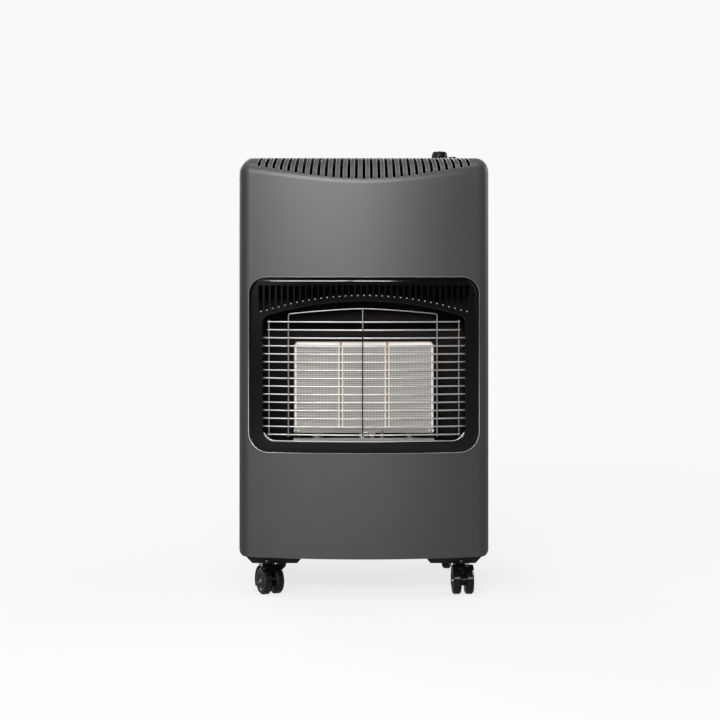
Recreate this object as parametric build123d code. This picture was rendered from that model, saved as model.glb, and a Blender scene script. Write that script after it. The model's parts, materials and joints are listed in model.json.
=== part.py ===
from build123d import *
import math
import os

# A portable gas cabinet heater: a bowed sheet-steel cabinet on four twin-wheel castors, with a
# three-plaque radiant burner behind a wire guard, and room for a gas cylinder behind the burner.
# Millimetres. +X is the object's right as seen from the front, +Y runs from front to back, +Z is
# up. The origin is on the floor, under the middle of the object. The front faces -Y.

# Cabinet
CABINET_WIDTH = 420.0
CABINET_TOP = 736.0
FLOOR_GAP = 66.0
FRONT_Y = -196.0
CABINET_DEPTH = 384.0
SHEET = 1.2
SEAM = 0.3
ROD_SIDES = 8
BOW_RADIUS = 680.0
SWOOP_RADIUS = 95.0
SWOOP_REACH = 76.0
FRONT_CORNER = 25.0
TOP_CORNER = 21.0
LOW_CORNER = 12.0
FRONT_PANEL_DEPTH = 96.0
RETURN_FLANGE = 22.0
TOP_SEAM_DROP = 30.0

# Warm-air slots along the top of the front panel
SLOT_COUNT = 29
SLOT_SIDE = 33.6
SLOT_WIDTH = 6.0
SLOT_EASE = 1.9
SLOT_FAN_RADIUS = 1500.0
SLOT_REACH = 78.0
SLOT_DROP = 1.0

# Window bezel
BEZEL_SIDE = 17.5
BEZEL_LOW = 242.4
BEZEL_HIGH = 534.2
BEZEL_TOP_CORNER = 28.0
BEZEL_LOW_CORNER = 33.0
BEZEL_PROUD = 4.0
BEZEL_OVERLAP = 4.5
BEZEL_EDGE_WIDTH = 5.0
BEZEL_EDGE_DROP = 2.7
BEZEL_CREST_RADIUS = 8.0
BEZEL_LIP_RADIUS = 1.5
BEZEL_PLATE = 2.2

# The bezel's arched opening, which the firebox follows
OPENING_SIDE = 23.8
OPENING_LOW = 261.5
OPENING_SHOULDER = 467.6
OPENING_APEX = 494.7
OPENING_LOW_CORNER = 22.0
OPENING_SHOULDER_CORNER = 12.0

# Louvres in the bezel, above the arch
LOUVRE_COUNT = 35
LOUVRE_SIDE = 20.3
LOUVRE_WIDTH = 7.2
LOUVRE_EASE = 2.2
LOUVRE_TOP = 520.7
LOUVRE_ABOVE_ARCH = 8.2

# Firebox
FIREBOX_GAP = 1.5
FIREBOX_SHEET = 1.2
FIREBOX_BACK_Y = -101.3
BAFFLE_HALF = 122.0
BAFFLE_LOW = 457.0
BAFFLE_Y = -131.0
BAFFLE_SHEET = 1.0

# Burner
PLAQUE_COUNT = 3
PLAQUE_WIDTH = 70.0
PLAQUE_HEIGHT = 137.6
PLAQUE_DEPTH = 13.0
PLAQUE_CLEARANCE = 0.2
GASKET_DIVIDER = 8.3
GASKET_SIDE = 3.0
GASKET_TOP = 5.2
GASKET_LOW = 1.6
GASKET_BEVEL = 4.5
BURNER_LOW = 279.0
BURNER_FACE_Y = -138.0
BURNER_SHEET = 1.2
BURNER_TRAY_HEIGHT = 8.0
BURNER_LEG_WIDTH = 9.0
DIVIDER_STRIP = 3.6
DIVIDER_STRIP_PROUD = 1.8
PLENUM_DEPTH = 20.0
PLENUM_WALL = 1.0
VENTURI_RADIUS = 9.0
VENTURI_MOUTH_RADIUS = 13.0
VENTURI_LENGTH = 58.0
VENTURI_MOUTH_LENGTH = 10.0
VENTURI_HOLE_CLEARANCE = 2.0

# Gas pipes
MANIFOLD_RADIUS = 6.0
MANIFOLD_Z = 203.0
INJECTOR_RADIUS = 4.0
INJECTOR_LENGTH = 9.0
SUPPLY_RADIUS = 4.0
SUPPLY_BEND = 16.0
SUPPLY_RISER_SIDE = 21.0
SUPPLY_OUT_DROP = 12.0
PILOT_TUBE_RADIUS = 2.0
PILOT_BEND = 10.0
PILOT_RISER_SIDE = 32.0
PILOT_RUN_Y = -134.0
PILOT_RUN_Z = 236.0
PILOT_OUT_DROP = 24.0
PIPE_HOLE_CLEARANCE = 2.0

# Pilot and lower reflector, on the firebox floor
PILOT_X = 14.0
PILOT_Y = -150.0
PILOT_SPACING = 17.0
PILOT_PLATE_WIDTH = 56.0
PILOT_PLATE_DEPTH = 16.0
PILOT_PLATE_SHEET = 1.2
PILOT_HEIGHT = 11.0
PILOT_STEM_RADIUS = 4.0
PILOT_HEAD_HALF = 5.0
PILOT_HEAD_REAR = 9.0
PILOT_HEAD_SHEET = 2.0
PROBE_RADIUS = 2.2
PROBE_ABOVE_PILOT = 3.0
PROBE_SLEEVE_RADIUS = 3.5
PROBE_SLEEVE_HEIGHT = 5.0
ELECTRODE_RADIUS = 3.0
ELECTRODE_HEIGHT = 8.0
ELECTRODE_WIRE_RADIUS = 0.9
ELECTRODE_TIP_GAP = 2.0
REFLECTOR_Y = -161.0
REFLECTOR_WIDTH = 236.0
REFLECTOR_HEIGHT = 4.0
REFLECTOR_FOOT = 9.0
REFLECTOR_SHEET = 1.0

# Wire guard
GUARD_WIRE_COUNT = 15
GUARD_SHORT_WIRES = 2
GUARD_PITCH = 13.45
GUARD_TOP = 459.7
GUARD_WIRE_RADIUS = 1.5
GUARD_UPRIGHT_RADIUS = 1.3
GUARD_SETBACK = 8.0
GUARD_SIDE = 9.7
GUARD_FRAME_X = 124.0
GUARD_SHOULDER_Z = 473.0
GUARD_APEX_Z = 482.0
GUARD_FRAME_CORNER = 4.0
GUARD_APEX_RADIUS = 20.0
GUARD_WIRE_END = 2.0
GUARD_STUB_BACK = 12.0
GUARD_TOUCH = 0.1
GUARD_HOOK_LOW = 3.0

# Divider between the burner and the cylinder
SHIELD_Y = -97.5
SHIELD_SHEET = 1.0
SHIELD_DROP = 36.0
SHIELD_FLANGE = 12.0

# Base pan
PAN_LIP = 22.0

# Controls on the top, to the right
KNOB_SIDE = 76.0
KNOB_Y = 10.0
KNOB_RISE = 19.8
KNOB_RADIUS = 15.0
KNOB_TOP_RADIUS = 12.4
KNOB_TRAVEL = 4.0
KNOB_FLOAT = 1.4
KNOB_FLUTES = 10
KNOB_FLUTE_RADIUS = 2.2
KNOB_EDGE = 1.6
POINTER_WIDTH = 2.4
POINTER_HEIGHT = 0.8
DIAL_RADIUS = 27.0
DIAL_SHEET = 1.2
STEM_RADIUS = 3.0
STEM_CLEARANCE = 0.05
PLUNGER_RADIUS = 5.0
PLUNGER_LENGTH = 12.0
PUSHER_GAP = 0.3
VALVE_WIDTH = 36.0
VALVE_DEPTH = 34.0
VALVE_HEIGHT = 46.0
VALVE_DROP = 24.0
VALVE_CORNER = 4.0
BRACKET_SHEET = 2.0
BRACKET_WIDTH = 92.0
BRACKET_DEPTH = 30.0
BRACKET_TAB = 16.0
INLET_RADIUS = 4.5
INLET_LENGTH = 20.0
INLET_HEX = 14.0
INLET_HEX_LENGTH = 8.0
PIEZO_SIDE = 55.0
PIEZO_Y = -26.0
PIEZO_RADIUS = 9.0
PIEZO_LENGTH = 30.0
PIEZO_COLLAR_RADIUS = 11.0
PIEZO_COLLAR_HEIGHT = 2.5
BUTTON_RADIUS = 7.5
BUTTON_RISE = 8.0
BUTTON_TRAVEL = 4.5
BUTTON_CLEARANCE = 0.1
BUTTON_DEPTH = 8.0

# Hand grips in the side panels
GRIP_LENGTH = 100.0
GRIP_HEIGHT = 36.0
GRIP_CORNER = 10.0
GRIP_DEPTH = 26.0
GRIP_WALL = 2.0
GRIP_FLANGE = 5.0
GRIP_FLANGE_SHEET = 2.0
GRIP_CENTRE_Y = 30.0
GRIP_DROP = 116.0
GRIP_CLEARANCE = 0.3

# Rear cover
REAR_COVER_DEPTH = 11.7
REAR_COVER_LIP = 2.4
REAR_COVER_LOW = 76.0
REAR_COVER_DROP = 16.0
REAR_COVER_CORNER = 16.0
REAR_COVER_EDGE = 5.0
VENT_ROWS = 6
VENT_PITCH = 17.0
VENT_LENGTH = 130.0
VENT_HEIGHT = 6.0
VENT_EASE = 1.9
VENT_CENTRE_X = 88.0
VENT_LOW_RISE = 34.0
VENT_HIGH_DROP = 135.0
PEG_RADIUS = 3.0
PEG_CLEARANCE = 0.4
PEG_LENGTH = 9.0
PEG_EDGE = 4.0
PEG_LOW_RISE = 54.0
PEG_HIGH_DROP = 50.0

# Castors
CASTOR_SIDE = 44.5
CASTOR_FRONT = 68.0
CASTOR_REAR = 60.0
CASTOR_YAWS = (25.0, 3.0, 12.0, -12.0)
WHEEL_RADIUS = 23.0
WHEEL_WIDTH = 14.0
WHEEL_CHAMFER = 2.5
WHEEL_DISH = 1.5
WHEEL_DISH_RADIUS = 15.0
CASTOR_WEB = 6.0
CASTOR_TRAIL = 17.0
WHEEL_SIDE_GAP = 0.5
HOOD_GAP = 1.2
HOOD_WALL = 1.8
HOOD_FRONT_ANGLE = 128.0
HOOD_REAR_ANGLE = -28.0
HOOD_HUB_RADIUS = 9.0
AXLE_RADIUS = 3.0
AXLE_CLEARANCE = 0.05
SWIVEL_RADIUS = 5.0
SWIVEL_CLEARANCE = 0.05
SWIVEL_PIN_UP = 10.0
SWIVEL_PIN_DOWN = 7.0
SWIVEL_BOSS_RADIUS = 12.0
SWIVEL_GAP = 0.3
MOUNT_HEIGHT = 13.0
MOUNT_LENGTH = 96.0
MOUNT_DEPTH = 74.0
MOUNT_TAPER = 38.0
MOUNT_OUT = 12.0
MOUNT_INWARD = 4.0
BOLT_HEX = 8.0
BOLT_HEAD = 2.8
BOLT_OUT = 8.0
BOLT_APART = 36.0

# Places that follow from the sizes above
CABINET_HALF = CABINET_WIDTH / 2
REAR_Y = FRONT_Y + CABINET_DEPTH
BEZEL_WIDTH = CABINET_WIDTH - 2 * BEZEL_SIDE
OPENING_HALF = BEZEL_WIDTH / 2 - OPENING_SIDE
SLOT_PITCH = (CABINET_WIDTH - 2 * SLOT_SIDE) / (SLOT_COUNT - 1)
LOUVRE_PITCH = (BEZEL_WIDTH - 2 * LOUVRE_SIDE) / (LOUVRE_COUNT - 1)
SUPPLY_RISER_X = CABINET_HALF - SUPPLY_RISER_SIDE
PILOT_RISER_X = CABINET_HALF - PILOT_RISER_SIDE
GUARD_SIDE_X = OPENING_HALF - GUARD_SIDE
GUARD_END_X = GUARD_SIDE_X + GUARD_WIRE_END
SHIELD_TOP = CABINET_TOP - SHIELD_DROP
KNOB_X = CABINET_HALF - KNOB_SIDE
KNOB_TOP = CABINET_TOP + KNOB_RISE
VALVE_TOP = CABINET_TOP - VALVE_DROP
PIEZO_X = CABINET_HALF - PIEZO_SIDE
BUTTON_TOP = CABINET_TOP + BUTTON_RISE
GRIP_CENTRE_Z = CABINET_TOP - GRIP_DROP
PEG_X = CABINET_HALF - RETURN_FLANGE + PEG_EDGE + PEG_CLEARANCE + PEG_RADIUS
REAR_COVER_HALF = PEG_X + PEG_RADIUS + REAR_COVER_LIP
REAR_COVER_HIGH = CABINET_TOP - REAR_COVER_DROP
VENT_LOW_Z = REAR_COVER_LOW + VENT_LOW_RISE
VENT_HIGH_Z = REAR_COVER_HIGH - VENT_HIGH_DROP
PEG_LOW_Z = REAR_COVER_LOW + PEG_LOW_RISE
PEG_HIGH_Z = REAR_COVER_HIGH - PEG_HIGH_DROP
CASTOR_X = CABINET_HALF - CASTOR_SIDE
CASTOR_FRONT_Y = FRONT_Y + CASTOR_FRONT
CASTOR_REAR_Y = REAR_Y - CASTOR_REAR
BOW_AXIS_Y = FRONT_Y + BOW_RADIUS
SWOOP_AXIS_Y = FRONT_Y + SWOOP_REACH
SWOOP_AXIS_Z = CABINET_TOP - SWOOP_RADIUS
FRONT_SEAM_Y = FRONT_Y + FRONT_PANEL_DEPTH
TOP_SEAM_Z = CABINET_TOP - TOP_SEAM_DROP
BIG = 2 * CABINET_TOP
PAN_FLOOR = FLOOR_GAP + SHEET + SEAM
PAN_TOP = PAN_FLOOR + SHEET
PLAQUE_PITCH = PLAQUE_WIDTH + 2 * PLAQUE_CLEARANCE + GASKET_DIVIDER
GASKET_HALF = (PLAQUE_COUNT * PLAQUE_PITCH - GASKET_DIVIDER) / 2 + GASKET_SIDE
PLAQUE_LOW = BURNER_LOW + GASKET_LOW + PLAQUE_CLEARANCE
GASKET_HIGH = PLAQUE_LOW + PLAQUE_HEIGHT + PLAQUE_CLEARANCE + GASKET_TOP
BURNER_BACK_Y = BURNER_FACE_Y + PLAQUE_DEPTH
PLENUM_FRONT_Y = BURNER_BACK_Y + SEAM
VENTURI_Y = PLENUM_FRONT_Y + PLENUM_DEPTH / 2
FIREBOX_FLOOR = OPENING_LOW - FIREBOX_GAP
VALVE_LOW = VALVE_TOP - VALVE_HEIGHT
KNOB_LOW = CABINET_TOP + DIAL_SHEET + KNOB_TRAVEL + KNOB_FLOAT
COLLAR_TOP = CABINET_TOP + PIEZO_COLLAR_HEIGHT
MOUNT_TOP = FLOOR_GAP - SEAM
MOUNT_LOW = MOUNT_TOP - MOUNT_HEIGHT
HOOD_TOP = MOUNT_LOW - SWIVEL_GAP
HOOD_INNER = WHEEL_RADIUS + HOOD_GAP
HOOD_OUTER = HOOD_INNER + HOOD_WALL
CASTOR_HALF_WIDTH = CASTOR_WEB / 2 + WHEEL_SIDE_GAP + WHEEL_WIDTH


def slab(x0, x1, y0, y1, z0, z1):
    """A block between two corners."""
    centre = Pos((x0 + x1) / 2, (y0 + y1) / 2, (z0 + z1) / 2)
    return centre * Box(x1 - x0, y1 - y0, z1 - z0)


def upright(x, y, z0, z1, radius):
    """A round bar along Z."""
    return Pos(x, y, (z0 + z1) / 2) * Cylinder(radius, z1 - z0)


def bar_along_y(x, z, y0, y1, radius):
    """A round bar along Y."""
    return Pos(x, (y0 + y1) / 2, z) * Rot(90, 0, 0) * Cylinder(radius, y1 - y0)


def through(face, y0, y1):
    """A front-view face, with its own Y as height, extruded from y0 back to y1."""
    return extrude(Plane.XZ.offset(-y1) * face, amount=y1 - y0)


def bowed_y(x, setback=0.0):
    """Y of the bowed front at a distance x from the middle, set back by a given amount."""
    return BOW_AXIS_Y - math.sqrt((BOW_RADIUS - setback) ** 2 - x * x)


def bow_drum(setback):
    """The upright drum whose front is the bowed front, set back by a given amount."""
    return upright(0, BOW_AXIS_Y, 0, BIG, BOW_RADIUS - setback)


def behind_bow(solid, setback):
    """The part of a solid that lies behind the bowed front."""
    return solid & bow_drum(setback)


def between_bows(solid, front_setback, rear_setback):
    """The part of a solid between two surfaces that follow the bowed front."""
    return (solid & bow_drum(front_setback)) - bow_drum(rear_setback)


def frame_face(half, z0, z1, top_corner, low_corner):
    """A rounded rectangle in front view."""
    face = Rectangle(2 * half, z1 - z0)
    if top_corner > 0:
        face = fillet(face.vertices().group_by(Axis.Y)[-1], top_corner)
    if low_corner > 0:
        face = fillet(face.vertices().group_by(Axis.Y)[0], low_corner)
    return Pos(0, (z0 + z1) / 2) * face


def rod_section(radius):
    """The section of a bent rod or pipe, with few sides, so that its bends stay light."""
    return RegularPolygon(radius, ROD_SIDES, major_radius=False, rotation=180 / ROD_SIDES)


def swept_rod(path, radius):
    """A rod or pipe along a path."""
    start = Plane(origin=path @ 0, z_dir=path % 0)
    return sweep(start * rod_section(radius), path=path)


def hexagon_bar(x, y, z0, z1, across_flats):
    """A hexagonal bar along Z."""
    face = RegularPolygon(across_flats / 2, 6, major_radius=False)
    return Pos(x, y, z0) * extrude(face, amount=z1 - z0)


# Cabinet


def plan_face(inset, rear_reach=0.0):
    """The cabinet's plan, inset on all sides: straight sides and a bowed front."""
    half = CABINET_HALF - inset
    front = FRONT_Y - SHEET
    rear = REAR_Y - inset + rear_reach
    plan = Pos(0, (front + rear) / 2) * Rectangle(2 * half, rear - front)
    return plan & Pos(0, BOW_AXIS_Y) * Circle(BOW_RADIUS - inset)


def cabinet_block(inset):
    """The cabinet's solid form, inset on all sides: a bowed front that swoops back into the top."""
    half = CABINET_HALF - inset
    low = FLOOR_GAP + inset
    high = CABINET_TOP - inset
    block = extrude(Pos(0, 0, low) * plan_face(inset), amount=high - low)
    above = slab(-half - 1, half + 1, FRONT_Y - 9, SWOOP_AXIS_Y, SWOOP_AXIS_Z, high + 9)
    drum = Pos(0, SWOOP_AXIS_Y, SWOOP_AXIS_Z) * Rot(0, 90, 0)
    above -= drum * Cylinder(SWOOP_RADIUS - inset, 2 * half + 9)
    block -= above
    corners = [e for e in block.edges().filter_by(Axis.Z) if e.center().Y < 0]
    block = fillet(corners, FRONT_CORNER - inset)
    crease = [e for e in block.edges() if abs(e.center().X) < 1 and is_crease(e.center())]
    sides = [e for e in block.edges() if is_top_side(e, half)]
    block = fillet(crease + sides, TOP_CORNER - inset)
    outline = frame_face(half, low, high + 9, 0, LOW_CORNER - inset)
    return block & through(outline, FRONT_Y - 9, REAR_Y + 9)


def is_crease(point):
    """Whether a point lies on the line where the front meets the swoop."""
    return point.Y < SWOOP_AXIS_Y - 5 and point.Z > SWOOP_AXIS_Z


def is_top_side(edge, half):
    """Whether an edge runs along the top of a side."""
    point = edge.center()
    return abs(abs(point.X) - half) < 0.01 and point.Z > CABINET_TOP - TOP_CORNER


def cabinet_shell():
    """The cabinet's sheet metal, before it is parted at its seams."""
    shell = cabinet_block(0) - cabinet_block(SHEET)
    floor_cut = Pos(0, 0, FLOOR_GAP - 1) * plan_face(RETURN_FLANGE, 2 * RETURN_FLANGE)
    shell -= extrude(floor_cut, amount=1 + SHEET + SEAM)
    half = CABINET_HALF - RETURN_FLANGE
    rear_low = FLOOR_GAP - 1
    rear_high = TOP_SEAM_Z - SEAM
    shell -= slab(-half, half, REAR_Y - 2 * SHEET, REAR_Y + 1, rear_low, rear_high)
    return shell


def slot_height(x):
    """Height of the line where the front meets the swoop, at a distance x from the middle."""
    back = SWOOP_AXIS_Y - bowed_y(x)
    return SWOOP_AXIS_Z + math.sqrt(SWOOP_RADIUS**2 - back**2)


def slot_cutters():
    """The fan of slots with eased ends, as one group of cutters."""
    cutters = []
    axis_y = FRONT_Y + SLOT_FAN_RADIUS
    rear_reach = SLOT_FAN_RADIUS - SLOT_REACH
    for index in range(SLOT_COUNT):
        x = (index - (SLOT_COUNT - 1) / 2) * SLOT_PITCH
        turn = math.atan2(x, axis_y - bowed_y(x))
        low = slot_height(x) - SLOT_DROP
        tall = CABINET_TOP + SHEET - low
        rear = rear_reach / math.cos(turn)
        front = SLOT_FAN_RADIUS + SHEET
        slot_front = Pos(0, low + tall / 2) * Rectangle(SLOT_WIDTH, tall)
        slot_front = chamfer(slot_front.vertices().group_by(Axis.Y)[0], SLOT_EASE)
        slot_plan = Pos(0, -(rear + front) / 2) * Rectangle(SLOT_WIDTH, front - rear)
        slot_plan = chamfer(slot_plan.vertices().group_by(Axis.Y)[-1], SLOT_EASE)
        cutter = through(slot_front, -front, -rear)
        cutter &= Pos(0, 0, low) * extrude(slot_plan, amount=tall)
        fan_axis = Pos(0, axis_y, 0) * Rot(0, 0, math.degrees(turn))
        cutters.append(fan_axis * cutter)
    return cutters


def window_face():
    """The rounded opening in the front panel, which the bezel's edge overlaps."""
    return frame_face(
        BEZEL_WIDTH / 2 - BEZEL_OVERLAP,
        BEZEL_LOW + BEZEL_OVERLAP,
        BEZEL_HIGH - BEZEL_OVERLAP,
        BEZEL_TOP_CORNER - BEZEL_OVERLAP,
        BEZEL_LOW_CORNER - BEZEL_OVERLAP,
    )


def make_front_panel(shell):
    """The bowed front, with its window and its warm-air slots."""
    front = slab(-BIG, BIG, FRONT_Y - 9, FRONT_SEAM_Y - SEAM / 2, 0, BIG)
    panel = shell & front
    panel -= through(window_face(), FRONT_Y - 9, FRONT_SEAM_Y)
    return panel - slot_cutters()


def make_side_panel(shell, side):
    """A side panel, with its flanges at the bottom and rear, and its grip hole and peg holes."""
    low_x, high_x = sorted((0.0, side * BIG))
    rear_half = slab(low_x, high_x, FRONT_SEAM_Y + SEAM / 2, BIG, 0, TOP_SEAM_Z - SEAM / 2)
    panel = shell & rear_half
    panel -= grip_body(side, GRIP_CLEARANCE, SHEET)
    for z in (PEG_LOW_Z, PEG_HIGH_Z):
        panel -= peg(side, z, PEG_CLEARANCE)
    return panel


def make_top_panel(shell):
    """The top, with the holes for the valve stem and the piezo igniter."""
    rear_top = slab(-BIG, BIG, FRONT_SEAM_Y + SEAM / 2, BIG, TOP_SEAM_Z + SEAM / 2, BIG)
    panel = shell & rear_top
    panel -= upright(KNOB_X, KNOB_Y, TOP_SEAM_Z, BIG, STEM_RADIUS + PIPE_HOLE_CLEARANCE)
    panel -= upright(PIEZO_X, PIEZO_Y, TOP_SEAM_Z, BIG, PIEZO_RADIUS + SEAM)
    return panel


def make_base_pan():
    """The floor of the cabinet, a tray whose lip holds the cylinder in."""
    outer_inset = SHEET + SEAM
    inner_inset = outer_inset + SHEET
    pan = tray_block(outer_inset, PAN_FLOOR, PAN_FLOOR + PAN_LIP)
    pan -= tray_block(inner_inset, PAN_TOP, PAN_FLOOR + PAN_LIP + 1)
    return pan


def tray_block(inset, low, high):
    """An upright block with the cabinet's inset plan and its rounded corners."""
    block = extrude(Pos(0, 0, low) * plan_face(inset), amount=high - low)
    corners = [e for e in block.edges().filter_by(Axis.Z) if e.center().Y < 0]
    block = fillet(corners, FRONT_CORNER - inset)
    outline = frame_face(CABINET_HALF - inset, FLOOR_GAP + SHEET, high + 9, 0, LOW_CORNER)
    return block & through(outline, FRONT_Y - 9, REAR_Y + 9)


def make_heat_shield():
    """The sheet that parts the burner from the cylinder, flanged to the side panels."""
    half = CABINET_HALF - SHEET - SEAM
    low = PAN_FLOOR + PAN_LIP + SEAM
    shield = slab(-half, half, SHIELD_Y, SHIELD_Y + SHIELD_SHEET, low, SHIELD_TOP)
    for side in (-1, 1):
        edge = sorted((side * half, side * (half - SHIELD_SHEET)))
        shield += slab(*edge, SHIELD_Y, SHIELD_Y + SHIELD_FLANGE, low, SHIELD_TOP)
    supply_z = VALVE_TOP - SUPPLY_OUT_DROP
    pilot_z = VALVE_TOP - PILOT_OUT_DROP
    for x, z, radius in (
        (supply_out_x(), supply_z, SUPPLY_RADIUS),
        (pilot_out_x(), pilot_z, PILOT_TUBE_RADIUS),
    ):
        shield -= bar_along_y(x, z, SHIELD_Y - 1, SHIELD_Y + 2, radius + PIPE_HOLE_CLEARANCE)
    return shield


# Hand grips


def grip_face(grow):
    """The outline of a grip's cup, seen from the side."""
    face = Rectangle(GRIP_LENGTH + 2 * grow, GRIP_HEIGHT + 2 * grow)
    face = fillet(face.vertices(), GRIP_CORNER + grow)
    return Pos(GRIP_CENTRE_Y, GRIP_CENTRE_Z) * face


def across(face, x0, x1):
    """A side-view face, with Y as its X and height as its Y, extruded from x0 to x1."""
    return extrude(Plane.YZ.offset(x0) * face, amount=x1 - x0)


def grip_body(side, grow, proud):
    """The block that a grip's cup fills, from its floor out past the side panel."""
    wall = CABINET_HALF
    x0, x1 = sorted((side * (wall - GRIP_DEPTH), side * (wall + proud)))
    return across(grip_face(grow), x0, x1)


def make_hand_grip(side):
    """A moulded cup with a flange, sunk in a side panel."""
    wall = CABINET_HALF
    grip = grip_body(side, 0, 0)
    flange = sorted((side * wall, side * (wall + GRIP_FLANGE_SHEET)))
    grip += across(grip_face(GRIP_FLANGE), *flange)
    floor_x = wall - GRIP_DEPTH + GRIP_WALL
    hollow = sorted((side * floor_x, side * (wall + GRIP_FLANGE_SHEET + 1)))
    return grip - across(grip_face(-GRIP_WALL), *hollow)


# Rear cover


def peg(side, z, grow=0.0):
    """A spring peg that clips the rear cover to a side panel's flange."""
    rear = REAR_Y + REAR_COVER_DEPTH
    return bar_along_y(side * PEG_X, z, REAR_Y - PEG_LENGTH, rear - SHEET, PEG_RADIUS + grow)


def make_rear_cover():
    """The pressed rear cover, with its vents and its four pegs."""
    front = REAR_Y + SEAM
    rear = REAR_Y + SEAM + REAR_COVER_DEPTH
    corner = REAR_COVER_CORNER
    outer = frame_face(REAR_COVER_HALF, REAR_COVER_LOW, REAR_COVER_HIGH, corner, corner)
    cover = through(outer, front, rear)
    cover = chamfer(cover.faces().sort_by(Axis.Y)[-1].edges(), REAR_COVER_EDGE)
    inner = frame_face(
        REAR_COVER_HALF - SHEET,
        REAR_COVER_LOW + SHEET,
        REAR_COVER_HIGH - SHEET,
        corner - SHEET,
        corner - SHEET,
    )
    hollow = through(inner, front - 1, rear - SHEET)
    cover -= chamfer(hollow.faces().sort_by(Axis.Y)[-1].edges(), REAR_COVER_EDGE - SHEET / 2)
    vent = chamfer(Rectangle(VENT_LENGTH, VENT_HEIGHT).vertices(), VENT_EASE)
    for base in (VENT_LOW_Z, VENT_HIGH_Z):
        for row in range(VENT_ROWS):
            for x in (-VENT_CENTRE_X, VENT_CENTRE_X):
                place = Pos(x, base + row * VENT_PITCH)
                cover -= through(place * vent, rear - 2 * SHEET, rear + 1)
    for side in (-1, 1):
        for z in (PEG_LOW_Z, PEG_HIGH_Z):
            cover += peg(side, z)
    return cover


# Window bezel


def opening_face(grow=0.0):
    """The arched opening in front view."""
    half = OPENING_HALF + grow
    low = OPENING_LOW - grow
    shoulder = OPENING_SHOULDER + grow
    outline = [
        Line((-half, shoulder), (-half, low)),
        Line((-half, low), (half, low)),
        Line((half, low), (half, shoulder)),
        ThreePointArc((half, shoulder), (0, OPENING_APEX + grow), (-half, shoulder)),
    ]
    face = make_face(outline)
    rows = face.vertices().sort_by(Axis.Y)
    face = fillet(rows[:2], OPENING_LOW_CORNER + grow)
    rows = face.vertices().filter_by(lambda v: v.Y > shoulder - 0.01)
    return fillet(rows, OPENING_SHOULDER_CORNER + grow)


def arch_height(x, grow=0.0):
    """Height of the opening's arch at a distance x from the middle."""
    half = OPENING_HALF + grow
    rise = OPENING_APEX - OPENING_SHOULDER
    radius = (half**2 + rise**2) / (2 * rise)
    reach = min(abs(x), half)
    return OPENING_APEX + grow - radius + math.sqrt(radius**2 - reach**2)


def louvre_cutters():
    """The row of slots above the arch, whose lower ends follow it."""
    cutters = []
    for index in range(LOUVRE_COUNT):
        x = (index - (LOUVRE_COUNT - 1) / 2) * LOUVRE_PITCH
        low = arch_height(x) + LOUVRE_ABOVE_ARCH
        face = Rectangle(LOUVRE_WIDTH, LOUVRE_TOP - low)
        face = chamfer(face.vertices().group_by(Axis.Y)[0], LOUVRE_EASE)
        face = Pos(x, (LOUVRE_TOP + low) / 2) * face
        cutters.append(through(face, FRONT_Y - 9, FRONT_Y + FRONT_PANEL_DEPTH / 2))
    return cutters


def front_face(solid):
    """The foremost face of a solid."""
    return min(solid.faces(), key=lambda face: face.bounding_box().min.Y)


def crowned(plate):
    """The bezel's plate with its outer edge sloped back and the crest above the slope rounded."""
    front = front_face(plate)
    edge = front.outer_wire().edges()
    plate = plate.chamfer(BEZEL_EDGE_WIDTH, BEZEL_EDGE_DROP, edge, face=front)
    return plate.fillet(BEZEL_CREST_RADIUS, front_face(plate).outer_wire().edges())


def make_window_bezel():
    """The black frame on the front panel: a crowned edge, an arched opening with a lip, and louvres."""
    outline = frame_face(
        BEZEL_WIDTH / 2,
        BEZEL_LOW,
        BEZEL_HIGH,
        BEZEL_TOP_CORNER,
        BEZEL_LOW_CORNER,
    )
    front, rear = FRONT_Y - 2 * BEZEL_PROUD, FRONT_SEAM_Y
    bezel = crowned(between_bows(through(outline, front, rear), -BEZEL_PROUD, -SEAM))
    hollow = through(window_face(), front, rear)
    bezel -= between_bows(hollow, BEZEL_PLATE - BEZEL_PROUD, SEAM)
    bezel -= through(opening_face(), front, rear)
    lip = [edge for wire in front_face(bezel).inner_wires() for edge in wire.edges()]
    return bezel.fillet(BEZEL_LIP_RADIUS, lip) - louvre_cutters()


# Firebox and burner


def make_firebox():
    """The enamelled box behind the bezel, open to the front, with holes for the mixing tubes."""
    front_setback = BEZEL_PLATE - BEZEL_PROUD + SEAM
    front_y = FRONT_Y - BEZEL_PROUD
    outer = through(opening_face(FIREBOX_GAP + FIREBOX_SHEET), front_y, FIREBOX_BACK_Y)
    inner_back = FIREBOX_BACK_Y - FIREBOX_SHEET
    firebox = behind_bow(outer, front_setback)
    firebox -= through(opening_face(FIREBOX_GAP), FRONT_Y - 9, inner_back)
    hole = VENTURI_RADIUS + VENTURI_HOLE_CLEARANCE
    for x in plaque_places():
        firebox -= upright(x, VENTURI_Y, FIREBOX_FLOOR - 9, FIREBOX_FLOOR + 9, hole)
    pilot_hole = PILOT_TUBE_RADIUS + PIPE_HOLE_CLEARANCE
    firebox -= upright(PILOT_X, PILOT_Y, FIREBOX_FLOOR - 9, FIREBOX_FLOOR + 9, pilot_hole)
    return firebox


def make_flame_baffle():
    """The plate that hangs from the firebox roof in front of the flue gap."""
    sheet = through(opening_face(FIREBOX_GAP - SEAM), BAFFLE_Y - BAFFLE_SHEET, BAFFLE_Y)
    return sheet & slab(-BAFFLE_HALF, BAFFLE_HALF, -BIG, BIG, BAFFLE_LOW, BIG)


def plaque_places():
    """X of each plaque's middle."""
    return [(i - (PLAQUE_COUNT - 1) / 2) * PLAQUE_PITCH for i in range(PLAQUE_COUNT)]


def make_plaque(x):
    """One ceramic plaque."""
    half = PLAQUE_WIDTH / 2
    high = PLAQUE_LOW + PLAQUE_HEIGHT
    return slab(x - half, x + half, BURNER_FACE_Y, BURNER_BACK_Y, PLAQUE_LOW, high)


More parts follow.
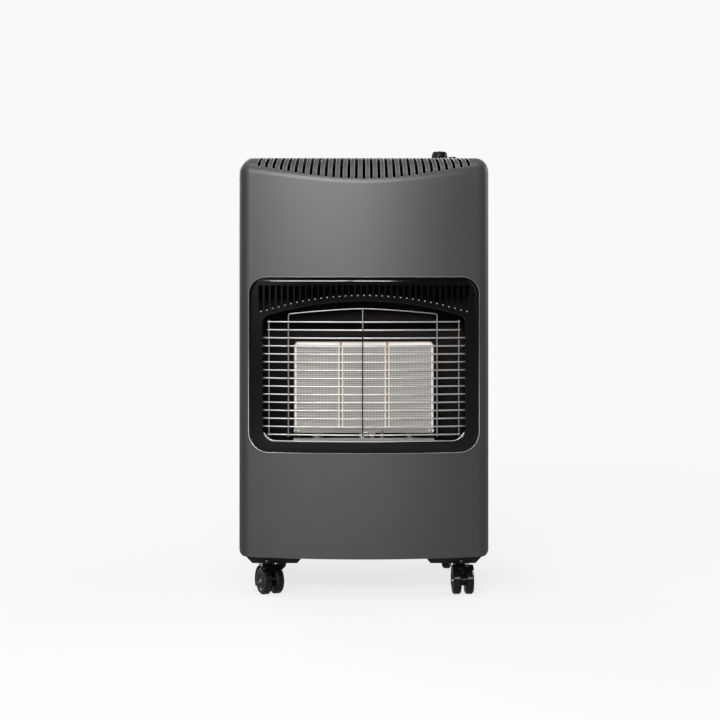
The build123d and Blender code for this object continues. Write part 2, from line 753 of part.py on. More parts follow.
def bevelled(block, bevel):
    """A block with its two upper corners cut off, as seen from the front."""
    return chamfer(block.edges().filter_by(Axis.Y).group_by(Axis.Z)[-1], bevel)


def grown_bevel(growth):
    """The gasket's bevel on an outline that is larger than the gasket all round."""
    return GASKET_BEVEL + growth * (2 - math.sqrt(2))


def make_plaque_gasket():
    """The ceramic-fibre frame that holds the plaques apart."""
    gasket = slab(
        -GASKET_HALF, GASKET_HALF, BURNER_FACE_Y, BURNER_BACK_Y, BURNER_LOW, GASKET_HIGH
    )
    gasket = bevelled(gasket, GASKET_BEVEL)
    half = PLAQUE_WIDTH / 2 + PLAQUE_CLEARANCE
    low = PLAQUE_LOW - PLAQUE_CLEARANCE
    high = PLAQUE_LOW + PLAQUE_HEIGHT + PLAQUE_CLEARANCE
    for x in plaque_places():
        gasket -= slab(x - half, x + half, -BIG, BIG, low, high)
    return gasket


def make_burner_frame():
    """The folded steel tray round the gasket, with its legs and its divider strips."""
    inner = GASKET_HALF + PLAQUE_CLEARANCE
    outer = inner + BURNER_SHEET
    low = BURNER_LOW - PLAQUE_CLEARANCE - BURNER_TRAY_HEIGHT
    tray_top = BURNER_LOW - PLAQUE_CLEARANCE
    high = GASKET_HIGH + PLAQUE_CLEARANCE + BURNER_SHEET
    frame = slab(-outer, outer, BURNER_FACE_Y, BURNER_BACK_Y, low, high)
    frame = bevelled(frame, grown_bevel(PLAQUE_CLEARANCE + BURNER_SHEET))
    inside = slab(-inner, inner, -BIG, BIG, tray_top, high - BURNER_SHEET)
    frame -= bevelled(inside, grown_bevel(PLAQUE_CLEARANCE))
    strip_front = BURNER_FACE_Y - DIVIDER_STRIP_PROUD
    for x in gasket_divider_places():
        half = DIVIDER_STRIP / 2
        frame += slab(x - half, x + half, strip_front, BURNER_FACE_Y, low, high)
    for side in (-1, 1):
        leg = sorted((side * outer, side * (outer - BURNER_LEG_WIDTH)))
        frame += slab(*leg, BURNER_FACE_Y, BURNER_BACK_Y, FIREBOX_FLOOR + SEAM, low)
    return frame


def gasket_divider_places():
    """X of the middle of each strip between two plaques."""
    places = plaque_places()
    return [(a + b) / 2 for a, b in zip(places, places[1:])]


def make_burner_plenum():
    """The hollow box behind the plaques, with a bell-mouthed mixing tube down from each."""
    half = GASKET_HALF - PLENUM_WALL
    rear = PLENUM_FRONT_Y + PLENUM_DEPTH
    low, high = BURNER_LOW, GASKET_HIGH
    plenum = slab(-half, half, PLENUM_FRONT_Y, rear, low, high)
    wall = PLENUM_WALL
    foot = low - VENTURI_LENGTH
    throat = foot + VENTURI_MOUTH_LENGTH
    mouth_middle = foot + VENTURI_MOUTH_LENGTH / 2
    for x in plaque_places():
        plenum += upright(x, VENTURI_Y, throat, low, VENTURI_RADIUS)
        bell = Cone(VENTURI_MOUTH_RADIUS, VENTURI_RADIUS, VENTURI_MOUTH_LENGTH)
        plenum += Pos(x, VENTURI_Y, mouth_middle) * bell
    plenum -= slab(
        -half + wall, half - wall, PLENUM_FRONT_Y - 1, rear - wall, low + wall, high - wall
    )
    for x in plaque_places():
        plenum -= upright(x, VENTURI_Y, throat - 1, low + 2 * wall, VENTURI_RADIUS - wall)
        inner = Cone(VENTURI_MOUTH_RADIUS - wall, VENTURI_RADIUS - wall, VENTURI_MOUTH_LENGTH)
        plenum -= Pos(x, VENTURI_Y, mouth_middle) * inner
    return plenum


# Gas train


def supply_out_x():
    """X of the valve's main outlet."""
    return KNOB_X + VALVE_WIDTH / 4


def pilot_out_x():
    """X of the valve's pilot outlet."""
    return KNOB_X - VALVE_WIDTH / 4


def valve_front_y():
    """Y of the valve body's front face."""
    return KNOB_Y - VALVE_DEPTH / 2


def manifold_end_x():
    """X of the manifold's right-hand end."""
    return plaque_places()[-1] + VENTURI_MOUTH_RADIUS


def make_supply_tube():
    """The pipe from the valve, forward over the firebox, down its side and in to the manifold."""
    z = VALVE_TOP - SUPPLY_OUT_DROP
    points = [
        (supply_out_x(), valve_front_y() - SEAM, z),
        (supply_out_x(), VENTURI_Y, z),
        (SUPPLY_RISER_X, VENTURI_Y, z),
        (SUPPLY_RISER_X, VENTURI_Y, MANIFOLD_Z),
        (manifold_end_x() + SEAM, VENTURI_Y, MANIFOLD_Z),
    ]
    return swept_rod(FilletPolyline(*points, radius=SUPPLY_BEND), SUPPLY_RADIUS)


def make_pilot_tube():
    """The thin pipe from the valve to the pilot, which comes up through the firebox floor."""
    z = VALVE_TOP - PILOT_OUT_DROP
    points = [
        (pilot_out_x(), valve_front_y() - SEAM, z),
        (pilot_out_x(), PILOT_RUN_Y, z),
        (PILOT_RISER_X, PILOT_RUN_Y, z),
        (PILOT_RISER_X, PILOT_RUN_Y, PILOT_RUN_Z),
        (PILOT_X, PILOT_RUN_Y, PILOT_RUN_Z),
        (PILOT_X, PILOT_Y, PILOT_RUN_Z),
        (PILOT_X, PILOT_Y, FIREBOX_FLOOR),
    ]
    radii = [PILOT_BEND, PILOT_BEND, PILOT_BEND, PILOT_BEND / 2, PILOT_BEND / 2]
    return swept_rod(FilletPolyline(*points, radius=radii), PILOT_TUBE_RADIUS)


def make_injector_manifold():
    """The gas rail under the mixing tubes, with an injector in each mouth and two feet."""
    end = manifold_end_x()
    rail = Pos(0, VENTURI_Y, MANIFOLD_Z) * Rot(0, 90, 0) * Cylinder(MANIFOLD_RADIUS, 2 * end)
    top = MANIFOLD_Z + MANIFOLD_RADIUS + INJECTOR_LENGTH
    for x in plaque_places():
        rail += upright(x, VENTURI_Y, MANIFOLD_Z, top, INJECTOR_RADIUS)
    half = MANIFOLD_RADIUS
    for x in gasket_divider_places():
        rail += slab(
            x - half, x + half, VENTURI_Y, SHIELD_Y - SEAM, MANIFOLD_Z - half, MANIFOLD_Z + half
        )
    return rail


def make_gas_valve():
    """The valve body under the top, with the plunger's bore and the two outlets' bosses."""
    body = slab(
        KNOB_X - VALVE_WIDTH / 2,
        KNOB_X + VALVE_WIDTH / 2,
        valve_front_y(),
        KNOB_Y + VALVE_DEPTH / 2,
        VALVE_LOW,
        VALVE_TOP,
    )
    body = fillet(body.edges().filter_by(Axis.Z), VALVE_CORNER)
    depth = PLUNGER_LENGTH + KNOB_TRAVEL + 2 * PUSHER_GAP
    body -= upright(KNOB_X, KNOB_Y, VALVE_TOP - depth, VALVE_TOP + 1, PLUNGER_RADIUS + STEM_CLEARANCE)
    return body


def make_valve_bracket():
    """The plated bracket that hangs the valve from the top, with its forward tab."""
    top = CABINET_TOP - SHEET - SEAM
    plate_low = VALVE_TOP + SEAM
    left = KNOB_X - VALVE_WIDTH / 2 - BRACKET_TAB
    right = left + BRACKET_WIDTH - 2 * BRACKET_SHEET
    y0, y1 = KNOB_Y - BRACKET_DEPTH / 2, KNOB_Y + BRACKET_DEPTH / 2
    bracket = slab(left, right, y0, y1, plate_low, plate_low + BRACKET_SHEET)
    bracket += slab(left, left + BRACKET_SHEET, y0, y1, plate_low, top)
    bracket += slab(left - BRACKET_TAB, left + BRACKET_SHEET, y0, y1, top - BRACKET_SHEET, top)
    bracket += slab(right - BRACKET_SHEET, right, y0, y1, plate_low, top)
    hole = PLUNGER_RADIUS + PIPE_HOLE_CLEARANCE
    return bracket - upright(KNOB_X, KNOB_Y, plate_low - 1, plate_low + 2 * BRACKET_SHEET, hole)


def make_gas_inlet():
    """The hose nozzle under the valve."""
    hex_low = VALVE_LOW - SEAM - INLET_HEX_LENGTH
    inlet = hexagon_bar(KNOB_X, KNOB_Y, hex_low, VALVE_LOW - SEAM, INLET_HEX)
    return inlet + upright(KNOB_X, KNOB_Y, hex_low - INLET_LENGTH, hex_low, INLET_RADIUS)


def make_valve_plunger():
    """The plunger that the stem pushes down in the valve."""
    top = VALVE_TOP
    return upright(KNOB_X, KNOB_Y, top - PLUNGER_LENGTH, top, PLUNGER_RADIUS)


def make_valve_stem():
    """The stem between the plunger and the knob."""
    return upright(KNOB_X, KNOB_Y, VALVE_TOP, (KNOB_LOW + KNOB_TOP) / 2, STEM_RADIUS)


def make_control_knob():
    """The fluted, tapered knob with its pointer rib, bored for the stem."""
    knob = Cone(KNOB_RADIUS, KNOB_TOP_RADIUS, KNOB_TOP - POINTER_HEIGHT - KNOB_LOW)
    knob = chamfer(knob.faces().sort_by(Axis.Z)[-1].edges(), KNOB_EDGE)
    knob = Pos(KNOB_X, KNOB_Y, (KNOB_LOW + KNOB_TOP - POINTER_HEIGHT) / 2) * knob
    for index in range(KNOB_FLUTES):
        turn = 2 * math.pi * (index + 0.5) / KNOB_FLUTES
        x = KNOB_X + KNOB_RADIUS * math.cos(turn)
        y = KNOB_Y + KNOB_RADIUS * math.sin(turn)
        knob -= upright(x, y, KNOB_LOW - 1, KNOB_TOP, KNOB_FLUTE_RADIUS)
    reach = KNOB_TOP_RADIUS - KNOB_EDGE
    rib_low = KNOB_TOP - POINTER_HEIGHT
    half = POINTER_WIDTH / 2
    knob += slab(
        KNOB_X - half, KNOB_X + half, KNOB_Y - reach, KNOB_Y, rib_low - 1, KNOB_TOP
    )
    return knob - upright(KNOB_X, KNOB_Y, KNOB_LOW - 1, (KNOB_LOW + KNOB_TOP) / 2, STEM_RADIUS)


def make_dial_plate():
    """The round plate under the knob."""
    plate = upright(KNOB_X, KNOB_Y, CABINET_TOP, CABINET_TOP + DIAL_SHEET, DIAL_RADIUS)
    plate -= upright(PIEZO_X, PIEZO_Y, CABINET_TOP - 1, BIG, PIEZO_COLLAR_RADIUS + SEAM)
    hole = STEM_RADIUS + PIPE_HOLE_CLEARANCE
    return plate - upright(KNOB_X, KNOB_Y, CABINET_TOP - 1, CABINET_TOP + 2 * DIAL_SHEET, hole)


def make_piezo_igniter():
    """The piezo igniter's barrel and collar, hung in the top, bored for its button."""
    barrel = upright(PIEZO_X, PIEZO_Y, COLLAR_TOP - PIEZO_LENGTH, COLLAR_TOP, PIEZO_RADIUS)
    collar = upright(PIEZO_X, PIEZO_Y, CABINET_TOP, COLLAR_TOP, PIEZO_COLLAR_RADIUS)
    collar = chamfer(collar.faces().sort_by(Axis.Z)[-1].edges(), KNOB_EDGE / 2)
    bore_low = COLLAR_TOP - BUTTON_DEPTH - BUTTON_TRAVEL - PUSHER_GAP
    bore = upright(PIEZO_X, PIEZO_Y, bore_low, BIG, BUTTON_RADIUS + BUTTON_CLEARANCE)
    return barrel + collar - bore


def make_piezo_button():
    """The igniter's push button."""
    button = upright(PIEZO_X, PIEZO_Y, COLLAR_TOP - BUTTON_DEPTH, BUTTON_TOP, BUTTON_RADIUS)
    return chamfer(button.faces().sort_by(Axis.Z)[-1].edges(), KNOB_EDGE)


# Pilot


def pilot_plate_top():
    """Height of the top of the pilot's plate."""
    return FIREBOX_FLOOR + SEAM + PILOT_PLATE_SHEET


def make_pilot_burner():
    """The pilot's plate and its burner head."""
    low = FIREBOX_FLOOR + SEAM
    half = PILOT_PLATE_WIDTH / 2
    deep = PILOT_PLATE_DEPTH / 2
    pilot = slab(
        PILOT_X - half, PILOT_X + half, PILOT_Y - deep, PILOT_Y + deep, low, pilot_plate_top()
    )
    top = low + PILOT_HEIGHT
    pilot += upright(PILOT_X, PILOT_Y, low, top, PILOT_STEM_RADIUS)
    half = PILOT_HEAD_HALF
    head_low = top - PILOT_HEAD_SHEET
    return pilot + slab(
        PILOT_X - half, PILOT_X + half, PILOT_Y - half, PILOT_Y + PILOT_HEAD_REAR, head_low, top
    )


def make_thermocouple():
    """The thermocouple beside the pilot."""
    low = pilot_plate_top()
    x = PILOT_X + PILOT_SPACING
    sleeve = upright(x, PILOT_Y, low, low + PROBE_SLEEVE_HEIGHT, PROBE_SLEEVE_RADIUS)
    return sleeve + upright(x, PILOT_Y, low, low + PILOT_HEIGHT + PROBE_ABOVE_PILOT, PROBE_RADIUS)


def make_ignition_electrode():
    """The ceramic electrode beside the pilot, with its bent wire."""
    low = pilot_plate_top()
    x = PILOT_X - PILOT_SPACING
    ceramic = upright(x, PILOT_Y, low, low + ELECTRODE_HEIGHT, ELECTRODE_RADIUS)
    top = low + PILOT_HEIGHT
    wire = upright(x, PILOT_Y, low, top, ELECTRODE_WIRE_RADIUS)
    reach = PILOT_SPACING - PILOT_HEAD_HALF - ELECTRODE_TIP_GAP
    place = Pos(x + reach / 2, PILOT_Y, top) * Rot(0, 90, 0)
    return ceramic + wire + place * Cylinder(ELECTRODE_WIRE_RADIUS, reach)


def make_lower_reflector():
    """The bright folded strip on the firebox floor, below the burner."""
    half = REFLECTOR_WIDTH / 2
    low = FIREBOX_FLOOR + SEAM
    y1 = REFLECTOR_Y + REFLECTOR_SHEET
    strip = slab(-half, half, REFLECTOR_Y, y1, low, low + REFLECTOR_HEIGHT)
    return strip + slab(-half, half, REFLECTOR_Y - REFLECTOR_FOOT, y1, low, low + REFLECTOR_SHEET)


# Wire guard


def bow_point(x, z, setback):
    """A point on the bowed surface at a given setback."""
    return (x, bowed_y(x, setback), z)


def bowed_wire(half, z, setback, radius):
    """A level wire that follows the bowed front from -half to half."""
    reach = math.degrees(math.asin(half / (BOW_RADIUS - setback)))
    section = Plane.XZ * Pos(BOW_RADIUS - setback, z) * rod_section(radius)
    ring = revolve(section, Axis.Z, revolution_arc=2 * reach)
    return Pos(0, BOW_AXIS_Y, 0) * Rot(0, 0, -90 - reach) * ring


def straight_wire(start, end, radius):
    """A straight guard wire between two points."""
    return swept_rod(Line(start, end), radius)


def guard_frame_wire(setback):
    """The wire that runs up one side, over the arch and down the other."""
    low = GUARD_TOP - (GUARD_WIRE_COUNT - 1) * GUARD_PITCH - GUARD_HOOK_LOW
    x = GUARD_FRAME_X
    points = [
        bow_point(-x, low, setback),
        bow_point(-x, GUARD_SHOULDER_Z, setback),
        bow_point(0, GUARD_APEX_Z, setback),
        bow_point(x, GUARD_SHOULDER_Z, setback),
        bow_point(x, low, setback),
    ]
    radii = [GUARD_FRAME_CORNER, GUARD_APEX_RADIUS, GUARD_FRAME_CORNER]
    return swept_rod(FilletPolyline(*points, radius=radii), GUARD_UPRIGHT_RADIUS)


def guard_stub(side, z):
    """The bent end of a level wire, which reaches back to the firebox wall."""
    start = bow_point(side * GUARD_END_X, z, GUARD_SETBACK)
    wall = OPENING_HALF + FIREBOX_GAP - GUARD_WIRE_RADIUS
    end = (side * wall, start[1] + GUARD_STUB_BACK, z)
    return straight_wire(start, end, GUARD_WIRE_RADIUS)


def make_guard():
    """The guard: level wires that follow the bow, with upright wires before and behind them."""
    spacing = GUARD_WIRE_RADIUS + GUARD_UPRIGHT_RADIUS + GUARD_TOUCH
    front_setback = GUARD_SETBACK - spacing
    rear_setback = GUARD_SETBACK + spacing
    wires = []
    for index in range(GUARD_WIRE_COUNT):
        z = GUARD_TOP - index * GUARD_PITCH
        wire = bowed_wire(GUARD_END_X, z, GUARD_SETBACK, GUARD_WIRE_RADIUS)
        if GUARD_SHORT_WIRES <= index < GUARD_WIRE_COUNT - 1:
            wire += guard_stub(-1, z)
            wire += guard_stub(1, z)
        wires.append(wire)
    low = GUARD_TOP - (GUARD_WIRE_COUNT - 1) * GUARD_PITCH - GUARD_HOOK_LOW
    for side in (-1, 1):
        x = side * GUARD_SIDE_X
        start = bow_point(x, low, rear_setback)
        end = bow_point(x, GUARD_TOP + GUARD_HOOK_LOW, rear_setback)
        wires.append(straight_wire(start, end, GUARD_UPRIGHT_RADIUS))
    wires.append(guard_frame_wire(front_setback))
    below_apex = GUARD_APEX_Z - GUARD_UPRIGHT_RADIUS - 2 * GUARD_TOUCH
    centre_low = bow_point(0, low, front_setback)
    centre_high = bow_point(0, below_apex, front_setback)
    wires.append(straight_wire(centre_low, centre_high, GUARD_UPRIGHT_RADIUS))
    return Compound(wires)


# Castors


def castor_places():
    """X and Y of each castor's swivel axis: front left, front right, rear left, rear right."""
    return [(side * CASTOR_X, y) for y in (CASTOR_FRONT_Y, CASTOR_REAR_Y) for side in (-1, 1)]


def axle_bar(half, radius):
    """A bar along the axle of a castor, in the castor's own frame."""
    return Pos(0, -CASTOR_TRAIL, WHEEL_RADIUS) * Rot(0, 90, 0) * Cylinder(radius, 2 * half)


def make_castor_mount(x, y):
    """The moulded foot under the base pan that a castor turns in."""
    face = Rectangle(MOUNT_LENGTH, MOUNT_DEPTH)
    foot = extrude(Pos(0, 0, MOUNT_TOP) * face, amount=-MOUNT_HEIGHT, taper=MOUNT_TAPER)
    foot_x = math.copysign(CABINET_HALF - MOUNT_OUT - MOUNT_LENGTH / 2, x)
    foot_y = y - math.copysign(MOUNT_INWARD, y)
    foot = Pos(foot_x, foot_y, 0) * foot
    bore = SWIVEL_RADIUS + SWIVEL_CLEARANCE
    return foot - upright(x, y, MOUNT_LOW - 1, MOUNT_TOP + 1, bore)


def make_castor_bolts(x, y):
    """The two bolts under a castor's foot."""
    side = math.copysign(1, x)
    bolts = []
    for step in (-1, 1):
        bolt_x = x + side * BOLT_OUT
        bolt_y = y + step * BOLT_APART / 2
        bolts.append(hexagon_bar(bolt_x, bolt_y, MOUNT_LOW - BOLT_HEAD, MOUNT_LOW, BOLT_HEX))
    return bolts


def hood_sector(inner, outer):
    """A sector of a ring about the axle, seen from the side, from the hood's rear to its front."""
    sweep_angle = HOOD_FRONT_ANGLE - HOOD_REAR_ANGLE
    outer_arc = CenterArc((0, 0), outer, HOOD_REAR_ANGLE, sweep_angle)
    if inner > 0:
        inner_arc = CenterArc((0, 0), inner, HOOD_REAR_ANGLE, sweep_angle)
        ends = [Line(inner_arc @ 0, outer_arc @ 0), Line(inner_arc @ 1, outer_arc @ 1)]
        outline = [inner_arc, outer_arc] + ends
    else:
        outline = [outer_arc, Line((0, 0), outer_arc @ 0), Line((0, 0), outer_arc @ 1)]
    return Pos(-CASTOR_TRAIL, WHEEL_RADIUS) * make_face(outline)


def make_castor_hood():
    """The moulded hood between and over a castor's wheels, in the castor's own frame."""
    half_web = CASTOR_WEB / 2
    hood = across(hood_sector(HOOD_INNER, HOOD_OUTER), -CASTOR_HALF_WIDTH, CASTOR_HALF_WIDTH)
    hood += across(hood_sector(0, HOOD_OUTER), -half_web, half_web)
    hood += axle_bar(half_web, HOOD_HUB_RADIUS)
    boss = upright(0, 0, HOOD_TOP - SWIVEL_PIN_DOWN - 2, HOOD_TOP, SWIVEL_BOSS_RADIUS)
    wheel_room = axle_bar(CASTOR_HALF_WIDTH + 1, HOOD_INNER + HOOD_WALL / 2)
    wheel_room -= slab(-half_web, half_web, -BIG, BIG, -BIG, BIG)
    hood += boss - wheel_room
    hood -= upright(0, 0, HOOD_TOP - SWIVEL_PIN_DOWN, HOOD_TOP + 1, SWIVEL_RADIUS)
    return hood - axle_bar(CASTOR_HALF_WIDTH, AXLE_RADIUS)


def make_castor_pins():
    """A castor's axle and swivel pin, in the castor's own frame."""
    half = CASTOR_HALF_WIDTH + WHEEL_SIDE_GAP
    axle = axle_bar(half, AXLE_RADIUS)
    low = HOOD_TOP - SWIVEL_PIN_DOWN
    pin = upright(0, 0, low, HOOD_TOP + SWIVEL_PIN_UP, SWIVEL_RADIUS)
    return Compound([axle, pin])


def make_wheel(side):
    """One wheel of a twin-wheel castor, in the castor's own frame."""
    inner = CASTOR_WEB / 2 + WHEEL_SIDE_GAP
    outer = inner + WHEEL_WIDTH
    bore = AXLE_RADIUS + AXLE_CLEARANCE
    profile = Polyline(
        (inner, bore),
        (inner, WHEEL_RADIUS - WHEEL_CHAMFER),
        (inner + WHEEL_CHAMFER, WHEEL_RADIUS),
        (outer - WHEEL_CHAMFER, WHEEL_RADIUS),
        (outer, WHEEL_RADIUS - WHEEL_CHAMFER),
        (outer, WHEEL_DISH_RADIUS),
        (outer - WHEEL_DISH, WHEEL_DISH_RADIUS - WHEEL_DISH),
        (outer - WHEEL_DISH, bore),
        close=True,
    )
    wheel = revolve(make_face(profile), Axis.X)
    wheel = Pos(0, -CASTOR_TRAIL, WHEEL_RADIUS) * wheel
    return wheel if side > 0 else wheel.mirror(Plane.YZ)


def save(name, shape):
    """Write one sub-part."""
    export_step(shape, os.path.join("parts", name + ".step"))


def save_cabinet():
    """The cabinet's sheet metal and what is fixed in it."""
    shell = cabinet_shell()
    save("front_panel", make_front_panel(shell))
    save("top_panel", make_top_panel(shell))
    for name, side in (("left", -1), ("right", 1)):
        save("side_panel_" + name, make_side_panel(shell, side))
        save("hand_grip_" + name, make_hand_grip(side))
    save("base_pan", make_base_pan())
    save("heat_shield", make_heat_shield())
    save("rear_cover", make_rear_cover())


def save_heater():
    """The window, the burner and what lights it."""
    save("window_bezel", make_window_bezel())
    save("firebox", make_firebox())
    save("flame_baffle", make_flame_baffle())
    save("guard", make_guard())
    save("burner_frame", make_burner_frame())
    save("plaque_gasket", make_plaque_gasket())
    for name, x in zip(("left", "centre", "right"), plaque_places()):
        save("ceramic_plaque_" + name, make_plaque(x))
    save("burner_plenum", make_burner_plenum())
    save("lower_reflector", make_lower_reflector())
    save("pilot_burner", make_pilot_burner())
    save("thermocouple", make_thermocouple())
    save("ignition_electrode", make_ignition_electrode())


def save_gas_train():
    """The valve, its pipes and the controls."""
    save("injector_manifold", make_injector_manifold())
    save("supply_tube", make_supply_tube())
    save("pilot_tube", make_pilot_tube())
    save("gas_valve", make_gas_valve())
    save("valve_bracket", make_valve_bracket())
    save("gas_inlet", make_gas_inlet())
    save("valve_plunger", make_valve_plunger())
    save("valve_stem", make_valve_stem())
    save("control_knob", make_control_knob())
    save("dial_plate", make_dial_plate())
    save("piezo_igniter", make_piezo_igniter())
    save("piezo_button", make_piezo_button())


def save_castors():
    """The four castors, their feet and their bolts."""
    hood = make_castor_hood()
    pins = make_castor_pins()
    wheels = {"left": make_wheel(-1), "right": make_wheel(1)}
    corners = ("front_left", "front_right", "rear_left", "rear_right")
    feet = []
    bolts = []
    for corner, (x, y), yaw in zip(corners, castor_places(), CASTOR_YAWS):
        frame = Pos(x, y, 0) * Rot(0, 0, yaw)
        save("castor_hood_" + corner, frame * hood)
        save("castor_pins_" + corner, frame * pins)
        for name, wheel in wheels.items():
            save("wheel_" + corner + "_" + name, frame * wheel)
        feet.append(make_castor_mount(x, y))
        bolts += make_castor_bolts(x, y)
    save("castor_mounts", Compound(feet))
    save("castor_bolts", Compound(bolts))


os.makedirs("parts", exist_ok=True)
save_cabinet()
save_heater()
save_gas_train()
save_castors()
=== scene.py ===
import json
import math

import bpy
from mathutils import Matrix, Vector


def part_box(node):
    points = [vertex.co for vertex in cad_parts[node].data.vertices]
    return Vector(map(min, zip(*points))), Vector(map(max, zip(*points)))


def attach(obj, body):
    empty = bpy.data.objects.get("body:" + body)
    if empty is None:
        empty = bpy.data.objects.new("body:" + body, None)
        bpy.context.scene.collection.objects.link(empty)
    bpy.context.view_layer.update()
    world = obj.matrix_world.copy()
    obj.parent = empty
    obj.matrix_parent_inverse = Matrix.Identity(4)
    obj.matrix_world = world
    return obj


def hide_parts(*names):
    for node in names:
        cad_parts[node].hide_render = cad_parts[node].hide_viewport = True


# A portable gas cabinet heater: the materials of its solids, finer pieces modelled round them,
# and the studio that they stand in.

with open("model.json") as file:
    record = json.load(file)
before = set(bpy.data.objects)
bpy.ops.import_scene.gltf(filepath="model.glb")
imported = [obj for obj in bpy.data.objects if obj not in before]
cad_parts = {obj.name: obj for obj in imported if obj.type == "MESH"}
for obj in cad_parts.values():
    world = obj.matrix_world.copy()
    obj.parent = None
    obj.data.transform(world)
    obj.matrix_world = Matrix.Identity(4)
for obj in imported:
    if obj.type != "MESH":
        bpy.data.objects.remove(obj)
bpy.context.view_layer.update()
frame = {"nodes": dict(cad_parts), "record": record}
nodes = frame["nodes"]

# Metres, in the frame of the solids: the front faces -Y, and the floor is at z = 0.
MM = 0.001

# The bowed front
BOW_RADIUS = 680 * MM
FRONT_Y = -196 * MM
BOW_AXIS_Y = FRONT_Y + BOW_RADIUS

# Lips of the warm-air slots, and the part of the front that holds them
SLOTS_LOW = 690 * MM
SLOTS_HALF = 190 * MM
SLOTS_BACK_Y = -103 * MM
SLOTS_FACING = (0.0, -0.7, 0.7)
SLOTS_FACING_LEAST = 0.55
SLOT_LIP_RADIUS = 0.5 * MM
SHARP_COSINE = 0.8

# Wire guard, whose arch falls away from its apex with a power of the distance from the middle
WIRE_COUNT = 15
WIRE_SHORT_COUNT = 2
WIRE_TOP = 459.7 * MM
WIRE_PITCH = 13.45 * MM
WIRE_RADIUS = 1.3 * MM
WIRE_SIDES = 12
WIRE_STEPS = 20
WIRE_MERGE = 0.02 * MM
SHORT_WIRE_X = 161 * MM
LONG_WIRE_X = 169.6 * MM
UPRIGHT_RADIUS = 1 * MM
BEAD_RADIUS = 1.4 * MM
GUARD_SETBACK = 8 * MM
GUARD_SHIFT = -2 * MM
GUARD_SIDE_X = 159 * MM
GUARD_FRAME_X = 124 * MM
GUARD_SHOULDER = 473 * MM
GUARD_APEX = 482 * MM
GUARD_ARCH_POWER = 1.5
GUARD_ARCH_STEPS = 10
GUARD_CORNER = 4 * MM
GUARD_CORNER_STEPS = 8
GUARD_HOOK = 3 * MM
GUARD_LOW = WIRE_TOP - (WIRE_COUNT - 1) * WIRE_PITCH - GUARD_HOOK

# Arched opening of the bezel, with a painted highlight on its lower lip: a bead of bright wire
ARCH_HALF = 168.7 * MM
ARCH_SHOULDER = 467.6 * MM
ARCH_APEX = 494.7 * MM
ARCH_LOW = 261.5 * MM
ARCH_LOW_CORNER = 22 * MM
BEZEL_PROUD = 4 * MM
LIP_HIGHLIGHT_RADIUS = 0.8 * MM
LIP_HIGHLIGHT_INSET = 0.3 * MM
LIP_HIGHLIGHT_SETBACK = 0.9 * MM
LIP_HIGHLIGHT_END_TURN = 22.0

# Outline of the bezel, with a raised edge of the panel round it
BEZEL_HALF = 192.5 * MM
BEZEL_LOW = 242.4 * MM
BEZEL_HIGH = 534.2 * MM
BEZEL_TOP_CORNER = 28 * MM
BEZEL_LOW_CORNER = 33 * MM
EDGE_RADIUS = 0.7 * MM
EDGE_OUTSET = 0.5 * MM

# Louvres above the opening, each with a tongue at its lower end that leans back
LOUVRE_COUNT = 35
LOUVRE_END_X = 172.2 * MM
LOUVRE_LOW = 8.2 * MM
SILL_WIDTH = 2.8 * MM
SILL_HEIGHT = 3 * MM
SILL_DEPTH = 1.2 * MM
SILL_ROUNDING = 0.3 * MM
SILL_SINK = 0.35 * MM
SILL_DROP = 0.2 * MM
SILL_LEAN = 10.0
SILL_TURN = 5.3

# The divider behind the burner
DIVIDER_FACE_Y = -97.2 * MM
DIVIDER_BACK_Y = -96.8 * MM

# Ceramic plaques with their square ports
PORT_COLUMNS = 28
PORT_ROWS = 42
PORT_WEB = 0.62 * MM
PORT_DEPTH = 3 * MM
PLAQUE_FACE_Y = -138 * MM

# Pairs of screws in the legs of the burner's tray
TRAY_FACE_Y = -139.8 * MM
LEG_SCREW_X = 114 * MM
LEG_SCREW_Z = 273.8 * MM
LEG_SCREW_STEP = 3.1 * MM
LEG_SCREW_RADIUS = 1.7 * MM
LEG_SCREW_HEIGHT = 1.2 * MM

# Where a finish, a painted highlight or a painted shade changes: the start and the end of each
# change
EDGE_HIGHLIGHT_Z = (450 * MM, 270 * MM)
EDGE_HIGHLIGHT_SIDE_X = (60 * MM, 170 * MM)
HEAT_Z = 440 * MM
HEAT_REACH = (120 * MM, 0.0)
WIRE_SHADOW_X = (6 * MM, 4 * MM)
WIRE_SHADOW_Z = (455 * MM, 440 * MM)
DIVIDER_SHADE_Z = (430 * MM, 480 * MM)
DIVIDER_SHADE_Y = (DIVIDER_BACK_Y, DIVIDER_FACE_Y)
STRIP_HEAT_Z = (278 * MM, 296 * MM)
LEG_SHADE_Z = (270.8 * MM, 269.8 * MM)
LEG_SHADE_Y = (-150 * MM, -146 * MM)
PORT_SHADE_Y = (PLAQUE_FACE_Y + 0.1 * MM, PLAQUE_FACE_Y + 1.5 * MM)
PIPE_SHADE_X = (165 * MM, 172 * MM)
PIPE_SHADE_Y = (-100 * MM, -115 * MM)

# Castors: the place of each swivel, and its turn in degrees
CASTORS = {
    "front_left": (-165.5 * MM, -128 * MM, 25.0),
    "front_right": (165.5 * MM, -128 * MM, 3.0),
    "rear_left": (-165.5 * MM, 128 * MM, 12.0),
    "rear_right": (165.5 * MM, 128 * MM, -12.0),
}
WHEEL_RADIUS = 23 * MM
WHEEL_TRAIL = 17 * MM
WHEEL_OUTER = 17.5 * MM

# Hub caps, with the width and rise of each step from the rim to the raised middle
CAP_RADIUS = 12 * MM
CAP_DEPTH = 1.4 * MM
CAP_SINK = 0.1 * MM
CAP_SIDES = 36
CAP_STEPS = ((1.4 * MM, 0.0), (0.4 * MM, -0.7 * MM), (5.0 * MM, 0.0), (0.4 * MM, 0.6 * MM))
RIB_COUNT = 6
RIB_INNER = 4.6 * MM
RIB_OUTER = 10.6 * MM
RIB_RADIUS = 0.55 * MM
RIB_SIDES = 8
RIB_Z = -0.75 * MM

